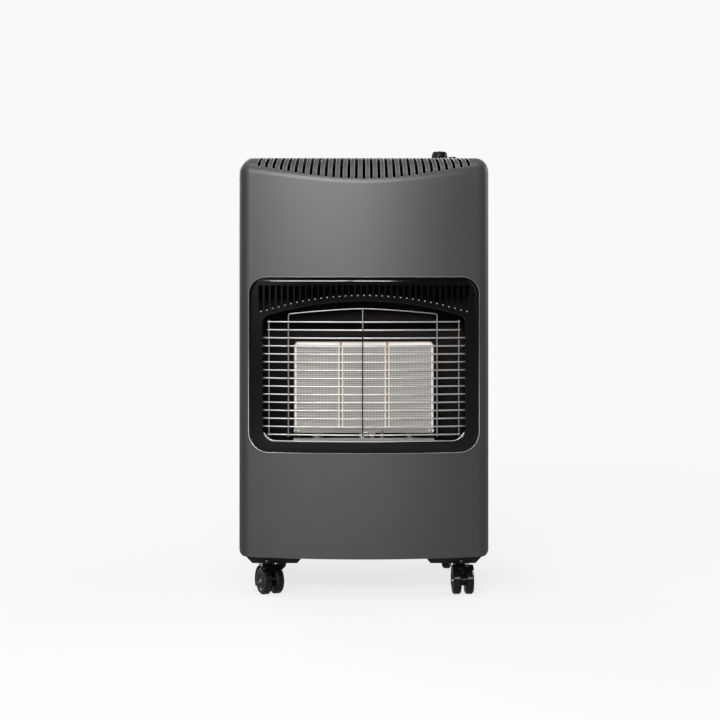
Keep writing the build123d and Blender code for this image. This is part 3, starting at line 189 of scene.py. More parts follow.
# Screw heads: their steps and their cross recess, in shares of their radius and height
SCREW_SIDES = 24
SCREW_STEPS = ((0.3, 0.25), (0.3, 0.08))
RECESS_LENGTH = 1.1
RECESS_WIDTH = 0.24
RECESS_HEIGHT = 0.8
RECESS_MIDDLE = 1.33

# Feet, whose front and back slope by FOOT_LEAN degrees, with a screw in each slope
FOOT_FRONT_Y = 161 * MM
FOOT_TOP = 65.7 * MM
FOOT_LEAN = 38.0
FOOT_SCREW_X = 163.5 * MM
FOOT_SCREW_Z = 57 * MM
FOOT_SCREW_RADIUS = 2.4 * MM
FOOT_SCREW_HEIGHT = 1.6 * MM

# Dial, with the turn in degrees and the length of each mark
KNOB_X = 134 * MM
KNOB_Y = 10 * MM
DIAL_TOP = 737.2 * MM
MARKS = {-120.0: 1.4 * MM, -60.0: 2.4 * MM, 0.0: 3.4 * MM, 60.0: 4.6 * MM, 120.0: 6.0 * MM}
MARK_INNER = 20 * MM
MARK_RADIUS = 0.6 * MM
MARK_SINK = 0.35 * MM
MARK_ROUNDING = 0.35 * MM
MARK_SIDES = 16

# Camera, from the photograph's perspective: what starts with PHOTO is in pixels of it
CAMERA_PLACE = (0.0, -3.196, 0.5546)
CAMERA_LENS = 90.44
CAMERA_SENSOR = 36.0
CAMERA_CLIP_END = 100.0
PHOTO_SIZE = 720
PHOTO_CENTRE_X = 363.9
PHOTO_HORIZON = 265.0

# Lamps: a wide key lamp above the camera, and weaker ones on the right, overhead and behind.
# Each has its place, its target, its width and height, and its power in watts.
LAMPS = {
    "key": ((-0.62, -3.3, 1.7), (0.0, -0.15, 0.55), 2.4, 0.6, 121.0),
    "fill": ((2.4, -1.6, 1.2), (0.0, 0.0, 0.4), 1.2, 1.6, 3.0),
    "overhead": ((0.0, -0.2, 2.6), (0.0, 0.0, 0.6), 2.4, 1.6, 22.0),
    "rear": ((-1.4, 2.8, 1.5), (0.0, 0.2, 0.4), 1.6, 1.2, 45.0),
    "side": ((2.6, 1.5, 1.3), (0.2, 0.1, 0.4), 1.6, 1.2, 16.0),
}

# World: its level for the camera, its strength as a light, and what glossy surfaces mirror.
# Each range holds the directions between which a side of that mirror image fades in.
BACKDROP_LEVEL = 0.947
AMBIENT_STRENGTH = 0.30
MIRROR_REST = 0.03
MIRROR_BACK = 0.85
MIRROR_BACK_Y = (-0.1, 0.6)
MIRROR_ABOVE = -0.6
MIRROR_ABOVE_Z = (0.2, 0.8)
MIRROR_LEFT = 0.75
MIRROR_LEFT_NEAR_X = (-0.3, -0.5)
MIRROR_LEFT_FAR_X = (-0.85, -0.65)
MIRROR_LEFT_Z = (-0.1, 0.0)

# Floor: its levels, the share of glow under the object, and what is added far from it
FLOOR_SIZE = 60.0
FLOOR_DIM = 0.20
FLOOR_PALE = 0.86
FLOOR_GLOW = 0.95
FLOOR_SHINE = 0.12
GLOW_NEAR = 0.80
GLOW_FAR = 0.20
GLOW_REACH = (0.6, 2.6)

# Modelling: a face is a top where its normal's Z is above TOP_NORMAL
TOP_NORMAL = 0.9
MERGE_DISTANCE = 0.01 * MM

# Stretches of a pattern along each axis
UNSTRETCHED = (1.0, 1.0, 1.0)
ROLLED = (1.0, 1.0, 14.0)


# Shader maths


class Value:
    """A number that varies over a surface, so that shader maths reads as Python."""

    def __init__(self, finish, socket):
        self.finish = finish
        self.socket = socket

    def maths(self, operation, first, second=0.0):
        """The result of one maths node."""
        inputs = {0: first, 1: second}
        made = self.finish.node("ShaderNodeMath", inputs, operation=operation)
        return Value(self.finish, made.outputs[0])

    def __add__(self, other):
        return self.maths("ADD", self, other)

    def __radd__(self, other):
        return self.maths("ADD", other, self)

    def __sub__(self, other):
        return self.maths("SUBTRACT", self, other)

    def __rsub__(self, other):
        return self.maths("SUBTRACT", other, self)

    def __mul__(self, other):
        return self.maths("MULTIPLY", self, other)

    def __pow__(self, other):
        return self.maths("POWER", self, other)

    def size(self):
        """The value without its sign."""
        return self.maths("ABSOLUTE", self)

    def limited(self):
        """The value kept between 0 and 1."""
        return self.maths("MINIMUM", self.maths("MAXIMUM", self, 0.0), 1.0)

    def step(self, low, high):
        """A smooth rise from 0 at low to 1 at high."""
        inputs = {"Value": self, "From Min": low, "From Max": high}
        made = self.finish.node("ShaderNodeMapRange", inputs, interpolation_type="SMOOTHSTEP")
        return Value(self.finish, made.outputs[0])


class Finish:
    """A node tree under construction: a material's, or the world's."""

    def __init__(self, owner):
        owner.use_nodes = True
        self.owner = owner
        self.tree = owner.node_tree

    def node(self, kind, inputs=None, **settings):
        """A new node, with its settings made before its sockets are fed."""
        made = self.tree.nodes.new(kind)
        for key, value in settings.items():
            setattr(made, key, value)
        for key, value in (inputs or {}).items():
            self.feed(made.inputs[key], value)
        return made

    def feed(self, socket, value):
        """Give a socket a plain value or a link."""
        if isinstance(value, Value):
            value = value.socket
        if isinstance(value, bpy.types.NodeSocket):
            self.tree.links.new(value, socket)
        else:
            socket.default_value = value

    def place(self, stretch=UNSTRETCHED):
        """Object coordinates, each multiplied by a stretch."""
        spot = self.node("ShaderNodeTexCoord").outputs["Object"]
        made = self.node("ShaderNodeMapping", {"Vector": spot, "Scale": stretch})
        return made.outputs["Vector"]

    def axis(self, name, space="Object"):
        """One coordinate: in metres, unless the space is another than the object's."""
        spot = self.node("ShaderNodeTexCoord").outputs[space]
        made = self.node("ShaderNodeSeparateXYZ", {0: spot})
        return Value(self, made.outputs[name])

    def ray(self, kind):
        """1 for rays of one kind, and 0 for the others."""
        return Value(self, self.node("ShaderNodeLightPath").outputs["Is " + kind + " Ray"])

    def noise(self, scale, detail, stretch=UNSTRETCHED):
        """Soft noise between 0 and 1, with scale in features per metre."""
        inputs = {"Vector": self.place(stretch), "Scale": scale, "Detail": detail}
        made = self.node("ShaderNodeTexNoise", inputs, noise_dimensions="3D")
        return Value(self, made.outputs["Fac"])

    def cells(self, scale):
        """Distance from the nearest of many scattered points."""
        made = self.node("ShaderNodeTexVoronoi", {"Vector": self.place(), "Scale": scale})
        return Value(self, made.outputs["Distance"])

    def mix(self, amount, first, second):
        """A colour between two colours, with its sockets by number, as several share a name."""
        made = self.node("ShaderNodeMix", {0: amount, 6: first, 7: second}, data_type="RGBA")
        return made.outputs[2]

    def blend(self, amount, first, second):
        """A shader between two shaders."""
        inputs = {0: amount, 1: first.outputs[0], 2: second.outputs[0]}
        return self.node("ShaderNodeMixShader", inputs)

    def bump(self, height, distance):
        """A normal bent by a height that spans a distance in metres."""
        made = self.node("ShaderNodeBump", {"Height": height, "Distance": distance})
        return made.outputs["Normal"]


def grey(level, warm=0.0):
    """A colour from a linear level, with more red and less blue by a share of it."""
    return (level * (1 + warm), level, level * (1 - warm), 1.0)


# Materials: each function gives the inputs of the standard shader


# Near-black for painted shade on the divider and the pipe.
SHADE_BLACK = grey(0.004)


def cabinet_paint(finish):
    """Satin charcoal powder coat with a fine orange peel."""
    cloud = finish.noise(6.0, 3.0)
    peel = finish.noise(900.0, 2.0)
    grain = finish.noise(2600.0, 1.0)
    dust = finish.noise(60.0, 6.0).step(0.62, 0.8)
    colour = finish.mix(cloud, grey(0.085), grey(0.097))
    return {
        "Base Color": finish.mix(dust * 0.25, colour, grey(0.11)),
        "Roughness": 0.44 + cloud * 0.05 + dust * 0.05,
        "Metallic": 0.75,
        "Specular IOR Level": 0.5,
        "Normal": finish.bump(peel * 0.7 + grain * 0.3, 0.06 * MM),
    }


def bezel_enamel(finish):
    """Glossy black enamel with a slight ripple and faint dust."""
    ripple = finish.noise(140.0, 2.0)
    dust = finish.noise(90.0, 5.0).step(0.6, 0.85)
    return {
        "Base Color": finish.mix(dust, grey(0.002), grey(0.006)),
        "Roughness": 0.13 + dust * 0.1,
        "Specular IOR Level": 0.38,
        "Normal": finish.bump(ripple, 0.08 * MM),
    }


def painted_edge_highlight(finish):
    """The cabinet's paint made lighter as a painted highlight on lips and edges, brightest at the
    bezel's lower corners.
    """
    cloud = finish.noise(40.0, 3.0)
    low = finish.axis("Z").step(*EDGE_HIGHLIGHT_Z)
    side = finish.axis("X").size().step(*EDGE_HIGHLIGHT_SIDE_X)
    edge_highlight = low * (0.15 + side * 0.75) + cloud * 0.1
    return {
        "Base Color": finish.mix(edge_highlight, grey(0.22), grey(0.80)),
        "Roughness": 0.34 + cloud * 0.08,
        "Metallic": 0.5,
    }


def sill_painted_highlight(finish):
    """The bezel's black enamel made lighter as a painted highlight on the louvres' lower ends."""
    dust = finish.noise(300.0, 3.0)
    return {
        "Base Color": finish.mix(dust, grey(0.03), grey(0.05)),
        "Roughness": 0.24 + dust * 0.08,
        "Specular IOR Level": 0.6,
    }


def firebox_enamel(finish):
    """Heatproof black, dulled and browned near the burner."""
    cloud = finish.noise(25.0, 4.0)
    heat = (finish.axis("Z") - HEAT_Z).size().step(*HEAT_REACH) * cloud
    fleck = finish.noise(700.0, 2.0)
    return {
        "Base Color": finish.mix(heat * 0.6, grey(0.004), (0.018, 0.012, 0.009, 1.0)),
        "Roughness": 0.6 + cloud * 0.2,
        "Specular IOR Level": 0.12,
        "Normal": finish.bump(fleck, 0.05 * MM),
    }


def bright_wire(finish, level, metallic, darkening):
    """Plated wire with a few dull spots, and a painted shadow on the middle upright over the
    burner where darkening is set.
    """
    cloud = finish.noise(35.0, 3.0)
    spots = finish.noise(420.0, 3.0).step(0.66, 0.8)
    middle = (finish.axis("X") - GUARD_SHIFT).size().step(*WIRE_SHADOW_X)
    painted_shadow = middle * finish.axis("Z").step(*WIRE_SHADOW_Z) * darkening
    bright = finish.mix(cloud, grey(level, 0.02), grey(level * 0.9, 0.03))
    colour = finish.mix(painted_shadow, bright, grey(0.02))
    return {
        "Base Color": finish.mix(spots * 0.3, colour, (0.36, 0.33, 0.29, 1.0)),
        "Roughness": 0.33 + cloud * 0.05 + spots * 0.1,
        "Metallic": metallic,
        "Normal": finish.bump(finish.noise(1500.0, 1.0), 0.008 * MM),
    }


def inner_steel(finish):
    """Plated inner sheet with rolling marks, with painted shade in black on the divider's front
    behind the louvres.
    """
    rolled = finish.noise(40.0, 3.0, ROLLED)
    cloud = finish.noise(18.0, 4.0)
    colour = finish.mix(cloud, grey(0.42), grey(0.34, 0.02))
    height = finish.axis("Z") + cloud * 0.04
    painted_shade = height.step(*DIVIDER_SHADE_Z) * finish.axis("Y").step(*DIVIDER_SHADE_Y)
    return {
        "Base Color": finish.mix(painted_shade, colour, SHADE_BLACK),
        "Roughness": 0.34 + rolled * 0.12 + painted_shade * 0.5,
        "Metallic": 1.0 - painted_shade,
        "Normal": finish.bump(rolled, 0.03 * MM),
    }


def burner_sheet(finish):
    """Bright burner sheet, browned by heat between the plaques, with painted shade low on the
    legs.
    """
    cloud = finish.noise(30.0, 4.0)
    heat = finish.axis("Z").step(*STRIP_HEAT_Z) * (0.75 + cloud * 0.25)
    painted_shade = finish.axis("Z").step(*LEG_SHADE_Z) * finish.axis("Y").step(*LEG_SHADE_Y)
    colour = finish.mix(cloud, (0.40, 0.385, 0.37, 1.0), (0.26, 0.245, 0.23, 1.0))
    browned = finish.mix(heat, colour, (0.32, 0.225, 0.18, 1.0))
    return {
        "Base Color": finish.mix(painted_shade, browned, (0.012, 0.010, 0.009, 1.0)),
        "Roughness": 0.34 + cloud * 0.18,
        "Metallic": 0.85,
        "Normal": finish.bump(finish.noise(300.0, 2.0), 0.04 * MM),
    }


def gasket_fibre(finish):
    """White pressed ceramic fibre, matt and a little woolly."""
    wool = finish.noise(900.0, 5.0)
    cloud = finish.noise(40.0, 3.0)
    return {
        "Base Color": finish.mix(cloud, (0.93, 0.91, 0.86, 1.0), (0.84, 0.80, 0.72, 1.0)),
        "Roughness": 0.85 + wool * 0.1,
        "Specular IOR Level": 0.2,
        "Normal": finish.bump(wool, 0.3 * MM),
    }


def plaque_ceramic(finish):
    """Bare beige-grey ceramic with a fine grain and firing stains, and painted shade inside its
    ports.
    """
    grain = finish.noise(1400.0, 3.0)
    cloud = finish.noise(22.0, 4.0)
    tint = finish.mix(cloud, (0.60, 0.575, 0.53, 1.0), (0.53, 0.505, 0.46, 1.0))
    inside = finish.axis("Y").step(*PORT_SHADE_Y)
    face = finish.mix(grain * 0.3, tint, (0.68, 0.655, 0.61, 1.0))
    return {
        "Base Color": finish.mix(inside, face, (0.10, 0.085, 0.07, 1.0)),
        "Roughness": 0.82 + grain * 0.1,
        "Specular IOR Level": 0.25,
        "Normal": finish.bump(grain, 0.1 * MM),
    }


def moulded_black(finish, level, roughness, shine=0.45):
    """Moulded black plastic with a fine spark texture."""
    spark = finish.cells(1100.0)
    cloud = finish.noise(30.0, 3.0)
    return {
        "Base Color": finish.mix(cloud, grey(level), grey(level * 1.4)),
        "Roughness": roughness + cloud * 0.08,
        "Specular IOR Level": shine,
        "Normal": finish.bump(spark, 0.05 * MM),
    }


def cast_metal(finish, colour, roughness):
    """A solid metal with a cloudy surface."""
    cloud = finish.noise(80.0, 4.0)
    dark = (colour[0] * 0.8, colour[1] * 0.78, colour[2] * 0.75, 1.0)
    return {
        "Base Color": finish.mix(cloud, (*colour, 1.0), dark),
        "Roughness": roughness + cloud * 0.15,
        "Metallic": 1.0,
        "Normal": finish.bump(finish.noise(500.0, 2.0), 0.04 * MM),
    }


def pipe_metal(finish):
    """Plated pipe, with painted shade in black where the pilot's pipe rises beside the burner."""
    cloud = finish.noise(80.0, 4.0)
    black = finish.axis("X").step(*PIPE_SHADE_X) * finish.axis("Y").step(*PIPE_SHADE_Y)
    colour = finish.mix(cloud, grey(0.72), grey(0.56, 0.02))
    return {
        "Base Color": finish.mix(black, colour, SHADE_BLACK),
        "Roughness": 0.22 + cloud * 0.15 + black * 0.4,
        "Metallic": 1.0 - black,
        "Specular IOR Level": 0.3,
        "Normal": finish.bump(finish.noise(500.0, 2.0), 0.04 * MM),
    }


def white_glaze(finish):
    """Glazed white ceramic."""
    cloud = finish.noise(120.0, 2.0)
    return {
        "Base Color": finish.mix(cloud, grey(0.82, 0.01), grey(0.74, 0.03)),
        "Roughness": 0.18 + cloud * 0.08,
    }


def marking_ink(finish):
    """Off-white printing ink for the dial."""
    cloud = finish.noise(400.0, 3.0)
    return {
        "Base Color": finish.mix(cloud, grey(0.78), grey(0.66)),
        "Roughness": 0.5 + cloud * 0.1,
    }


RECIPES = {
    "cabinet_paint": (cabinet_paint, {}),
    "inner_steel": (inner_steel, {}),
    "bezel_black": (bezel_enamel, {}),
    "painted_edge_highlight": (painted_edge_highlight, {}),
    "sill_highlight_black": (sill_painted_highlight, {}),
    "firebox_enamel": (firebox_enamel, {}),
    "guard_wire": (bright_wire, {"level": 0.62, "metallic": 0.75, "darkening": 0.0}),
    # A darker copy of the guard wire: painted shade, with a painted shadow where darkening is
    # set.
    "shaded_wire": (bright_wire, {"level": 0.48, "metallic": 0.95, "darkening": 1.0}),
    "burner_steel": (burner_sheet, {}),
    "gasket_fibre": (gasket_fibre, {}),
    "plaque_ceramic": (plaque_ceramic, {}),
    "copper": (cast_metal, {"colour": (0.42, 0.33, 0.27), "roughness": 0.3}),
    "electrode_ceramic": (white_glaze, {}),
    "pipe": (pipe_metal, {}),
    "valve_alloy": (cast_metal, {"colour": (0.62, 0.62, 0.61), "roughness": 0.42}),
    "brass": (cast_metal, {"colour": (0.76, 0.58, 0.27), "roughness": 0.25}),
    "knob_black": (moulded_black, {"level": 0.003, "roughness": 0.34, "shine": 0.2}),
    "button_black": (moulded_black, {"level": 0.012, "roughness": 0.28}),
    "dial_black": (moulded_black, {"level": 0.016, "roughness": 0.4}),
    "moulding_black": (moulded_black, {"level": 0.010, "roughness": 0.5}),
    "castor_black": (moulded_black, {"level": 0.003, "roughness": 0.14}),
    "pin_steel": (cast_metal, {"colour": (0.6, 0.6, 0.6), "roughness": 0.25}),
    "bolt_zinc": (cast_metal, {"colour": (0.78, 0.78, 0.76), "roughness": 0.22}),
    "marking_ink": (marking_ink, {}),
}


def surface(name, recipe, settings):
    """A material on the standard shader, made by a recipe."""
    finish = Finish(bpy.data.materials.new(name))
    shader = finish.tree.nodes["Principled BSDF"]
    for key, value in recipe(finish, **settings).items():
        finish.feed(shader.inputs[key], value)
    return finish.owner


MATERIALS = {name: surface(name, *recipe) for name, recipe in RECIPES.items()}


def give_material(mesh, name):
    """Give a mesh one material in place of those that it had."""
    mesh.materials.clear()
    mesh.materials.append(MATERIALS[name])


def paint_nodes():
    """Give each solid the material of its slot."""
    for part in frame["record"]["subparts"]:
        give_material(nodes[part["node"]].data, part["material_slot"])


# Modelling


def bow_y(x, setback):
    """Y of the bowed front at a distance x from the middle, set back by a given amount."""
    return BOW_AXIS_Y - math.sqrt((BOW_RADIUS - setback) ** 2 - x * x)


def add_object(name, data):
    """A new object in the scene, with this data."""
    made = bpy.data.objects.new(name, data)
    bpy.context.scene.collection.objects.link(made)
    return made


def pick(*pieces):
    """Select these pieces alone, with the first one active."""
    bpy.ops.object.select_all(action="DESELECT")
    for piece in pieces:
        piece.select_set(True)
    bpy.context.view_layer.objects.active = pieces[0]


def settle(piece):
    """Put a piece's place, turn and scale in its mesh."""
    pick(piece)
    bpy.ops.object.transform_apply(location=True, rotation=True, scale=True)
    return piece


def edit(piece, action="SELECT"):
    """Open a piece for editing, with all or none of it selected."""
    pick(piece)
    bpy.ops.object.mode_set(mode="EDIT")
    bpy.ops.mesh.select_all(action=action)


def leave():
    """Close the piece that is open for editing."""
    bpy.ops.object.mode_set(mode="OBJECT")


def choose(piece, wanted, kind="FACE"):
    """Select the faces or edges of an open piece that pass a test."""
    bpy.ops.mesh.select_mode(type=kind)
    bpy.ops.mesh.select_all(action="DESELECT")
    leave()
    group = piece.data.polygons if kind == "FACE" else piece.data.edges
    for item in group:
        item.select = wanted(item)
    bpy.ops.object.mode_set(mode="EDIT")


def use(piece, kind, **settings):
    """Add a modifier and apply it."""
    pick(piece)
    made = piece.modifiers.new(kind.title(), kind)
    for key, value in settings.items():
        setattr(made, key, value)
    bpy.ops.object.modifier_apply(modifier=made.name)


def joined(pieces):
    """One piece made of several."""
    pick(*pieces)
    bpy.ops.object.join()
    return pieces[0]


def dress(piece, name, body, slot, smooth, material=None):
    """Finish a piece: its name, its shading, its material and the body that it rides on.

    Edges that turn by less than smooth degrees are shaded smooth.
    """
    settle(piece)
    piece.name = name
    piece.data.name = name
    bpy.ops.object.shade_smooth_by_angle(angle=math.radians(smooth))
    give_material(piece.data, material or slot)
    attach(piece, body)
    return piece


def turn_to(direction, axis="Z"):
    """The turn that points an axis in a direction."""
    return Vector(direction).to_track_quat(axis, "Y").to_euler()


def rod(start, end, radius, sides):
    """A straight round rod between two points."""
    start, end = Vector(start), Vector(end)
    run = end - start
    bpy.ops.mesh.primitive_cylinder_add(
        vertices=sides,
        radius=radius,
        depth=run.length,
        location=(start + end) / 2,
        rotation=turn_to(run),
    )
    return settle(bpy.context.object)


def disc(radius, low, high, sides):
    """A flat disc about the Z axis, between two heights."""
    bpy.ops.mesh.primitive_cylinder_add(
        vertices=sides, radius=radius, depth=high - low, location=(0.0, 0.0, (low + high) / 2)
    )
    return settle(bpy.context.object)


def step_top(piece, steps):
    """Inset a piece's top once for each width and rise."""
    edit(piece)
    choose(piece, lambda face: face.normal.z > TOP_NORMAL)
    for width, rise in steps:
        bpy.ops.mesh.inset(thickness=width, depth=rise)
    leave()


def stand(piece, place, facing):
    """Point a piece's Z axis in a direction, and put it in its place."""
    piece.rotation_euler = turn_to(facing)
    piece.location = place
    return settle(piece)


def turn_out():
    """Turn the faces of the open piece outwards."""
    bpy.ops.mesh.select_all(action="SELECT")
    bpy.ops.mesh.normals_make_consistent(inside=False)


def corner_points(centre_x, centre_z, radius, start, end, steps=10):
    """Points round a corner in the front view, between two angles in degrees."""
    points = []
    for step in range(steps + 1):
        turn = math.radians(start + (end - start) * step / steps)
        points.append((centre_x + radius * math.cos(turn), centre_z + radius * math.sin(turn)))
    return points


def level_points(start, end, z, steps=24):
    """Points between two corners along a level line, so that it can follow the bow."""
    return [(start + (end - start) * step / steps, z) for step in range(1, steps)]


def thickened(line, radius, resolution):
    """A mesh with a round section along a curve."""
    line.data.bevel_depth = radius
    line.data.bevel_resolution = resolution
    line.data.use_fill_caps = True
    pick(line)
    bpy.ops.object.convert(target="MESH")
    return bpy.context.object


def wire_on_bow(name, points, setback, radius, is_closed=False):
    """A thin round wire through points in the front view, laid on the bowed front."""
    curve = bpy.data.curves.new(name, "CURVE")
    curve.dimensions = "3D"
    spline = curve.splines.new("POLY")
    spline.points.add(len(points) - 1)
    spline.use_cyclic_u = is_closed
    for knot, (x, z) in zip(spline.points, points):
        knot.co = (x, bow_y(x, setback), z, 1.0)
    return thickened(add_object(name, curve), radius, resolution=3)


# Wire guard


def level_wire(z, end_x):
    """A level wire that follows the bow as far as end_x, modelled as one half and mirrored."""
    bpy.ops.mesh.primitive_circle_add(
        vertices=WIRE_SIDES,
        radius=WIRE_RADIUS,
        location=(0.0, bow_y(0.0, GUARD_SETBACK), z),
        rotation=(0.0, math.pi / 2, 0.0),
    )
    wire = settle(bpy.context.object)
    reach = math.asin(end_x / (BOW_RADIUS - GUARD_SETBACK))
    edit(wire)
    centre = (0.0, BOW_AXIS_Y, z)
    bpy.ops.mesh.spin(steps=WIRE_STEPS, angle=reach, center=centre, axis=(0.0, 0.0, 1.0))
    bpy.ops.mesh.edge_face_add()
    leave()
    use(wire, "MIRROR", use_axis=(True, False, False), merge_threshold=WIRE_MERGE)
    edit(wire)
    turn_out()
    leave()
    return wire


def upright_wire(x, setback, top):
    """A straight upright wire, from the guard's lower end up to a height."""
    y = bow_y(x, setback)
    return rod((x, y, GUARD_LOW), (x, y, top), UPRIGHT_RADIUS, WIRE_SIDES)


def arch_wire(setback):
    """The wire that runs up one side, over the arch and down the other."""
    rise = GUARD_APEX - GUARD_SHOULDER
    inner_x = GUARD_FRAME_X - GUARD_CORNER

    def height(x):
        """Height of the arch at a distance x from its middle."""
        return GUARD_APEX - rise * (x / GUARD_FRAME_X) ** GUARD_ARCH_POWER

    half = [(-GUARD_FRAME_X, GUARD_LOW), (-GUARD_FRAME_X, GUARD_LOW + GUARD_CORNER)]
    corner_z = height(inner_x) - GUARD_CORNER
    half += corner_points(-inner_x, corner_z, GUARD_CORNER, 180.0, 90.0, GUARD_CORNER_STEPS)
    for step in range(1, GUARD_ARCH_STEPS):
        x = inner_x * (1 - step / GUARD_ARCH_STEPS)
        half.append((-x, height(x)))
    points = half + [(0.0, GUARD_APEX)] + [(-x, z) for x, z in reversed(half)]
    shifted = [(x + GUARD_SHIFT, z) for x, z in points]
    return wire_on_bow("arch_wire", shifted, setback, UPRIGHT_RADIUS)


def weld_bead(x, z, setback):
    """The small bead where two wires are welded."""
    bpy.ops.mesh.primitive_ico_sphere_add(
        subdivisions=2, radius=BEAD_RADIUS, location=(x, bow_y(x, setback), z)
    )
    return settle(bpy.context.object)


def make_guard():
    """The bright wire guard, with round wires welded where they cross."""
    apart = WIRE_RADIUS + UPRIGHT_RADIUS
    front, rear = GUARD_SETBACK - apart, GUARD_SETBACK + apart
    levels, uprights = [], []
    for index in range(WIRE_COUNT):
        z = WIRE_TOP - index * WIRE_PITCH
        is_long = WIRE_SHORT_COUNT <= index < WIRE_COUNT - 1
        levels.append(level_wire(z, LONG_WIRE_X if is_long else SHORT_WIRE_X))
        for x in (-GUARD_SIDE_X, GUARD_SIDE_X):
            levels.append(weld_bead(x, z, (GUARD_SETBACK + rear) / 2))
        for x in (-GUARD_FRAME_X, 0.0, GUARD_FRAME_X):
            levels.append(weld_bead(x + GUARD_SHIFT, z, (GUARD_SETBACK + front) / 2))
    for x in (-GUARD_SIDE_X, GUARD_SIDE_X):
        uprights.append(upright_wire(x, rear, WIRE_TOP + GUARD_HOOK))
    uprights.append(upright_wire(GUARD_SHIFT, front, GUARD_APEX - UPRIGHT_RADIUS))
    uprights.append(arch_wire(front))
    thin = joined(uprights)
    # The uprights' darker wire is painted shade, with a painted shadow on the middle upright over
    # the burner.
    dress(thin, "wire_uprights", "cabinet", "guard_wire", smooth=50.0, material="shaded_wire")
    guard = dress(joined(levels), "wire_guard", "cabinet", "guard_wire", smooth=50.0)
    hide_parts("guard")


# Burner


def make_plaque(node):
    """A ceramic plaque with its rows of square burner ports."""
    low, high = (Vector(corner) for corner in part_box(node))
    centre = (low + high) / 2
    bpy.ops.mesh.primitive_grid_add(
        x_subdivisions=PORT_COLUMNS,
        y_subdivisions=PORT_ROWS,
        size=1.0,
        location=(centre.x, low.y, centre.z),
        rotation=(math.pi / 2, 0.0, 0.0),
    )
    plaque = bpy.context.object
    plaque.scale = (high.x - low.x, high.z - low.z, 1.0)
    settle(plaque)
    edit(plaque)
    bpy.ops.mesh.select_mode(type="FACE")
    bpy.ops.mesh.inset(thickness=PORT_WEB, depth=0.0, use_individual=True)
    bpy.ops.mesh.extrude_region_move(TRANSFORM_OT_translate={"value": (0.0, PORT_DEPTH, 0.0)})
    leave()
    edit(plaque, "DESELECT")
    bpy.ops.mesh.select_mode(type="EDGE")
    bpy.ops.mesh.select_non_manifold()
    depth = high.y - low.y
    bpy.ops.mesh.extrude_region_move(TRANSFORM_OT_translate={"value": (0.0, depth, 0.0)})
    bpy.ops.mesh.edge_face_add()
    turn_out()
    leave()
    dress(plaque, node + "_ports", "cabinet", "plaque_ceramic", smooth=20.0)
    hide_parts(node)


# Warm-air slots


def sharp_edges(mesh, wanted):
    """The sharp edges of a mesh whose ends and neighbouring normals pass a test."""
    beside = {}
    for face in mesh.polygons:
        for key in face.edge_keys:
            beside.setdefault(key, []).append(face.normal.copy())
    kept = set()
    for key, normals in beside.items():
        if len(normals) == 2 and normals[0].dot(normals[1]) < SHARP_COSINE:
            ends = [mesh.vertices[index].co for index in key]
            if wanted(ends, normals):
                kept.add(key)
    return kept


def make_slot_lips():
    """The rolled lips round the warm-air slots, along the front's sharp edges there."""
    outward = Vector(SLOTS_FACING)

    def wanted(ends, normals):
        for end in ends:
            if end.z < SLOTS_LOW or end.y > SLOTS_BACK_Y or abs(end.x) > SLOTS_HALF:
                return False
        return max(normal.dot(outward) for normal in normals) > SLOTS_FACING_LEAST

    lips = add_object("slot_lips", nodes["front_panel"].data.copy())
    edit(lips)
    bpy.ops.mesh.remove_doubles(threshold=MERGE_DISTANCE)
    leave()
    kept = sharp_edges(lips.data, wanted)
    edit(lips, "DESELECT")
    choose(lips, lambda edge: tuple(sorted(edge.vertices)) not in kept, "EDGE")
    bpy.ops.mesh.delete(type="EDGE")
    leave()
    bpy.ops.object.convert(target="CURVE")
    lips = thickened(bpy.context.object, SLOT_LIP_RADIUS, resolution=2)
    # The lips' lighter paint is a painted highlight.
    dress(lips, "slot_lips", "cabinet", "cabinet_paint", smooth=60.0, material="painted_edge_highlight")


# Louvres and bezel


def arch_height(x):
    """Height of the opening's arch at a distance x from the middle."""
    rise = ARCH_APEX - ARCH_SHOULDER
    radius = (ARCH_HALF**2 + rise**2) / (2 * rise)
    return ARCH_APEX - radius + math.sqrt(radius**2 - min(abs(x), ARCH_HALF) ** 2)


def louvre_sill(x):
    """The small tongue at the lower end of a louvre, which leans back."""
    bpy.ops.mesh.primitive_plane_add(
        size=1.0, location=(0.0, 0.0, SILL_HEIGHT / 2), rotation=(math.pi / 2, 0.0, 0.0)
    )
    sill = bpy.context.object
    sill.scale = (SILL_WIDTH, SILL_HEIGHT, 1.0)
    settle(sill)
    edit(sill)
    bpy.ops.mesh.extrude_region_move(TRANSFORM_OT_translate={"value": (0.0, SILL_DEPTH, 0.0)})
    turn_out()
    bpy.ops.mesh.bevel(offset=SILL_ROUNDING, segments=2)
    leave()
    low = arch_height(x) + LOUVRE_LOW
    sill.rotation_euler = (-math.radians(SILL_LEAN), 0.0, -math.radians(SILL_TURN))
    sill.location = (x, bow_y(x, -BEZEL_PROUD) + SILL_SINK, low - SILL_DROP)
    return settle(sill)


def make_sills():
    """The row of bright tongues under the louvres."""
    places = [(2 * i / (LOUVRE_COUNT - 1) - 1) * LOUVRE_END_X for i in range(LOUVRE_COUNT)]
    sills = joined([louvre_sill(x) for x in places])
    # The tongues' lighter enamel is a painted highlight.
    dress(sills, "louvre_sills", "cabinet", "bezel_black", smooth=40.0, material="sill_highlight_black")


def make_lip_highlight():
    """A painted highlight along the lower lip of the arched opening: a bead of bright wire on the
    black bezel.
    """
    x, z = ARCH_HALF - ARCH_LOW_CORNER, ARCH_LOW + ARCH_LOW_CORNER
    radius = ARCH_LOW_CORNER - LIP_HIGHLIGHT_INSET
    points = corner_points(-x, z, radius, LIP_HIGHLIGHT_END_TURN - 180.0, -90.0)
    points += level_points(-x, x, ARCH_LOW + LIP_HIGHLIGHT_INSET)
    points += corner_points(x, z, radius, -90.0, -LIP_HIGHLIGHT_END_TURN)
    highlight_bead = wire_on_bow("lip_highlight", points, LIP_HIGHLIGHT_SETBACK - BEZEL_PROUD, LIP_HIGHLIGHT_RADIUS)
    dress(highlight_bead, "lip_highlight", "cabinet", "bezel_black", smooth=60.0, material="guard_wire")


